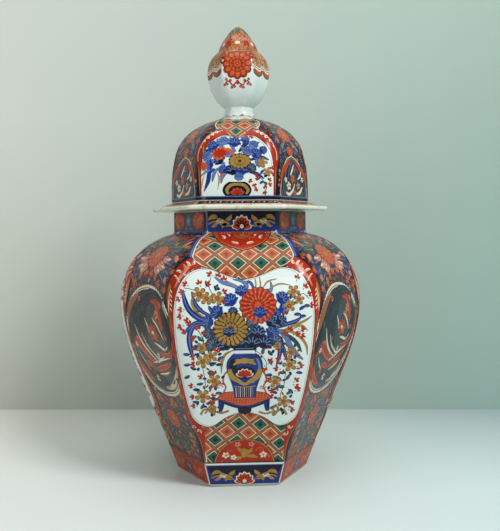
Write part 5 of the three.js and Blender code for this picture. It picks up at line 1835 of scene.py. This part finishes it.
class JAR_OT_knob(bpy.types.Operator):
    """Glaze the knob's stem and bud"""
    bl_idname = "jar.knob"
    bl_label = "Knob"

    def execute(self, context):
        fillet, low = STEM_FILLET - GLAZE_DEPTH, DOME_TOP - GLAZE_DEPTH
        joint = (STEM_RADIUS - GLAZE_DEPTH, fillet, STEM_TOP)
        vent = [joint, (VENT_RADIUS, VENT_RADIUS, STEM_TOP), (VENT_RADIUS, VENT_RADIUS, low)]
        start = (STEM_FOOT_RADIUS - 0.8 - GLAZE_DEPTH, fillet, low)
        skin = loft([*levels([start], COVER_TURN), *skin_levels(STEM, STEM.up[1:-1]),
                     *levels(vent, COVER_TURN)])
        piece("stem_glaze", *skin, finishes()["glaze"], "cover", "white_glaze", ["knob_stem"])
        tip = (2.2, 2.2, TIP_TOP - GLAZE_DEPTH)
        skin = loft([*levels([joint], COVER_TURN), *skin_levels(BUD, BUD.up[1:-1]),
                     *levels([tip], COVER_TURN)],
                    capped=True)
        piece("bud_glaze", *skin, finishes()["glaze"], "cover", "white_glaze", ["knob_bud"])
        return {"FINISHED"}


def fire(ware, prefix, body):
    """Makes one piece of each colour that a ware was painted with."""
    for paint, verts, quads in ware.meshes():
        piece(f"{prefix}_{paint}", verts, quads, finishes()[paint], body, ENAMELS[paint][0], sharp=35)


class JAR_OT_jar_painting(bpy.types.Operator):
    """Paint the jar's panels, brocades and bands"""
    bl_idname = "jar.jar_painting"
    bl_label = "Jar Painting"

    def execute(self, context):
        ware = Ware()
        paint_jar(ware)
        fire(ware, "jar_paint", "jar")
        return {"FINISHED"}


class JAR_OT_cover_painting(bpy.types.Operator):
    """Paint the cover and its knob"""
    bl_idname = "jar.cover_painting"
    bl_label = "Cover Painting"

    def execute(self, context):
        ware = Ware()
        paint_cover(ware)
        paint_knob(ware)
        fire(ware, "cover_paint", "cover")
        return {"FINISHED"}


class JAR_OT_stage(bpy.types.Operator):
    """Set the table, the wall behind it, the lamps and the camera"""
    bl_idname = "jar.stage"
    bl_label = "Stage"

    def execute(self, context):
        self.table_and_wall(context.scene.jar_colours)
        self.lamps(context.scene)
        self.camera(context.scene)
        return {"FINISHED"}

    def link(self, name, data):
        made = bpy.data.objects.new(name, data)
        bpy.context.scene.collection.objects.link(made)
        return made

    def sheet(self, name, corners, axis, hues, span):
        """A flat sheet whose tone goes from left to right, and between two places on another axis too:
        painted light and shade.
        """
        mesh = bpy.data.meshes.new(name)
        mesh.from_pydata(corners, [], [list(range(len(corners)))])
        finish = Finish(name)
        aside, high = (finish.between(
            finish.node("ShaderNodeSeparateXYZ", output=way, Vector=finish.place), *limits)
            for way, limits in ((0, (-0.45, 0.45)), (axis, span)))
        # Painted light and shade: the colour blends between four corner tones, lighter where light falls and
        # darker where shade falls.
        above, below = finish.blend(aside, *hues[:2]), finish.blend(aside, *hues[2:])
        mesh.materials.append(finish.set(Base_Color=finish.blend(high, below, above), Roughness=0.6))
        self.link(name, mesh)

    def table_and_wall(self, hues):
        """The wall stands a little askew behind the jar, nearer on the right."""
        far, wide, tall = 0.302, 6.0, 5.0
        askew = wide * math.tan(math.radians(4.6))
        left, right = (-wide, far + askew), (wide, far - askew)
        self.sheet("table", [(-wide, -wide, 0), (wide, -wide, 0), (*right, 0), (*left, 0)], 1,
                   (hues.table, hues.table_right_shade, hues.table_far, hues.table_far_right_shade), (0.28, -0.1))
        self.sheet("wall", [(*left, -0.6), (*right, -0.6), (*right, tall), (*left, tall)], 2,
                   (hues.wall, hues.wall_right_shade, hues.wall_low_shade, hues.wall_right_low_shade), (0.05, 0.5))

    def lamp(self, name, place, aim, sides, power):
        data = bpy.data.lights.new(name, "AREA")
        data.shape = "RECTANGLE"
        data.size, data.size_y = sides
        data.energy = power
        made = self.link(name, data)
        made.location = place
        made.rotation_euler = (Vector(aim) - Vector(place)).to_track_quat("-Z", "Y").to_euler()

    def lamps(self, scene):
        self.lamp("key_softbox", (1.2, -1.35, 1.75), (0, 0, 0.28), (0.6, 0.6), 42)
        self.lamp("fill_softbox", (-1.6, -1.6, 0.7), (0, 0, 0.2), (1.2, 1.0), 10)
        self.lamp("top_softbox", (0.1, -0.2, 2.2), (0, 0, 0), (1.6, 1.6), 14)
        self.lamp("window_glow", (0.34, -1.9, 1.15), (0.06, -0.13, 0.25), (0.22, 0.8), 3.0)
        scene.world = bpy.data.worlds.new("room")
        scene.world.use_nodes = True
        sky = scene.world.node_tree.nodes["Background"].inputs
        sky["Color"].default_value = (0.86, 0.9, 0.88, 1)
        sky["Strength"].default_value = 0.30
        scene.view_settings.view_transform = "Standard"

    def camera(self, scene):
        sizes = scene.jar_sizes
        picture_height, film_height = 531, 36.0
        off_middle = 250 - 240.5  # pixels between the picture's middle and the jar's axis
        turn = Matrix.Rotation(sizes.camera_turn, 4, "Z")
        aside = off_middle / sizes.focal_pixels * sizes.camera_distance
        place = turn @ Vector((aside, -sizes.camera_distance, sizes.camera_height))
        data = bpy.data.cameras.new("camera")
        data.sensor_fit = "VERTICAL"
        data.sensor_height = film_height
        data.lens = film_height * sizes.focal_pixels / picture_height
        made = self.link("camera", data)
        level = Matrix.Rotation(math.pi / 2 - sizes.camera_pitch, 4, "X")
        roll = Matrix.Rotation(-sizes.camera_roll, 4, "Z")
        made.matrix_world = Matrix.Translation(place) @ turn @ level @ roll
        scene.camera = made


class JAR_PT_panel(bpy.types.Panel):
    """Lists the jar's sizes, colours and steps"""
    bl_label = "Covered Jar"
    bl_idname = "JAR_PT_panel"
    bl_space_type = "VIEW_3D"
    bl_region_type = "UI"
    bl_category = "Jar"

    def draw(self, context):
        for group in (context.scene.jar_sizes, context.scene.jar_colours):
            for key in type(group).__annotations__:
                self.layout.prop(group, key)
        for step in STEPS:
            self.layout.operator(step.bl_idname)


STEPS = (JAR_OT_stage, JAR_OT_glazed_wall, JAR_OT_foot, JAR_OT_cover, JAR_OT_knob, JAR_OT_jar_painting,
         JAR_OT_cover_painting)
CLASSES = (JarColours, JarSizes, *STEPS, JAR_PT_panel)


def register():
    for item in CLASSES:
        bpy.utils.register_class(item)
    bpy.types.Scene.jar_colours = PointerProperty(type=JarColours)
    bpy.types.Scene.jar_sizes = PointerProperty(type=JarSizes)


def unregister():
    del bpy.types.Scene.jar_sizes
    del bpy.types.Scene.jar_colours
    for item in reversed(CLASSES):
        bpy.utils.unregister_class(item)


def main():
    register()
    bpy.ops.jar.stage()
    bpy.ops.jar.glazed_wall()
    bpy.ops.jar.foot()
    bpy.ops.jar.cover()
    bpy.ops.jar.knob()
    bpy.ops.jar.jar_painting()
    bpy.ops.jar.cover_painting()


if __name__ == "__main__":
    main()
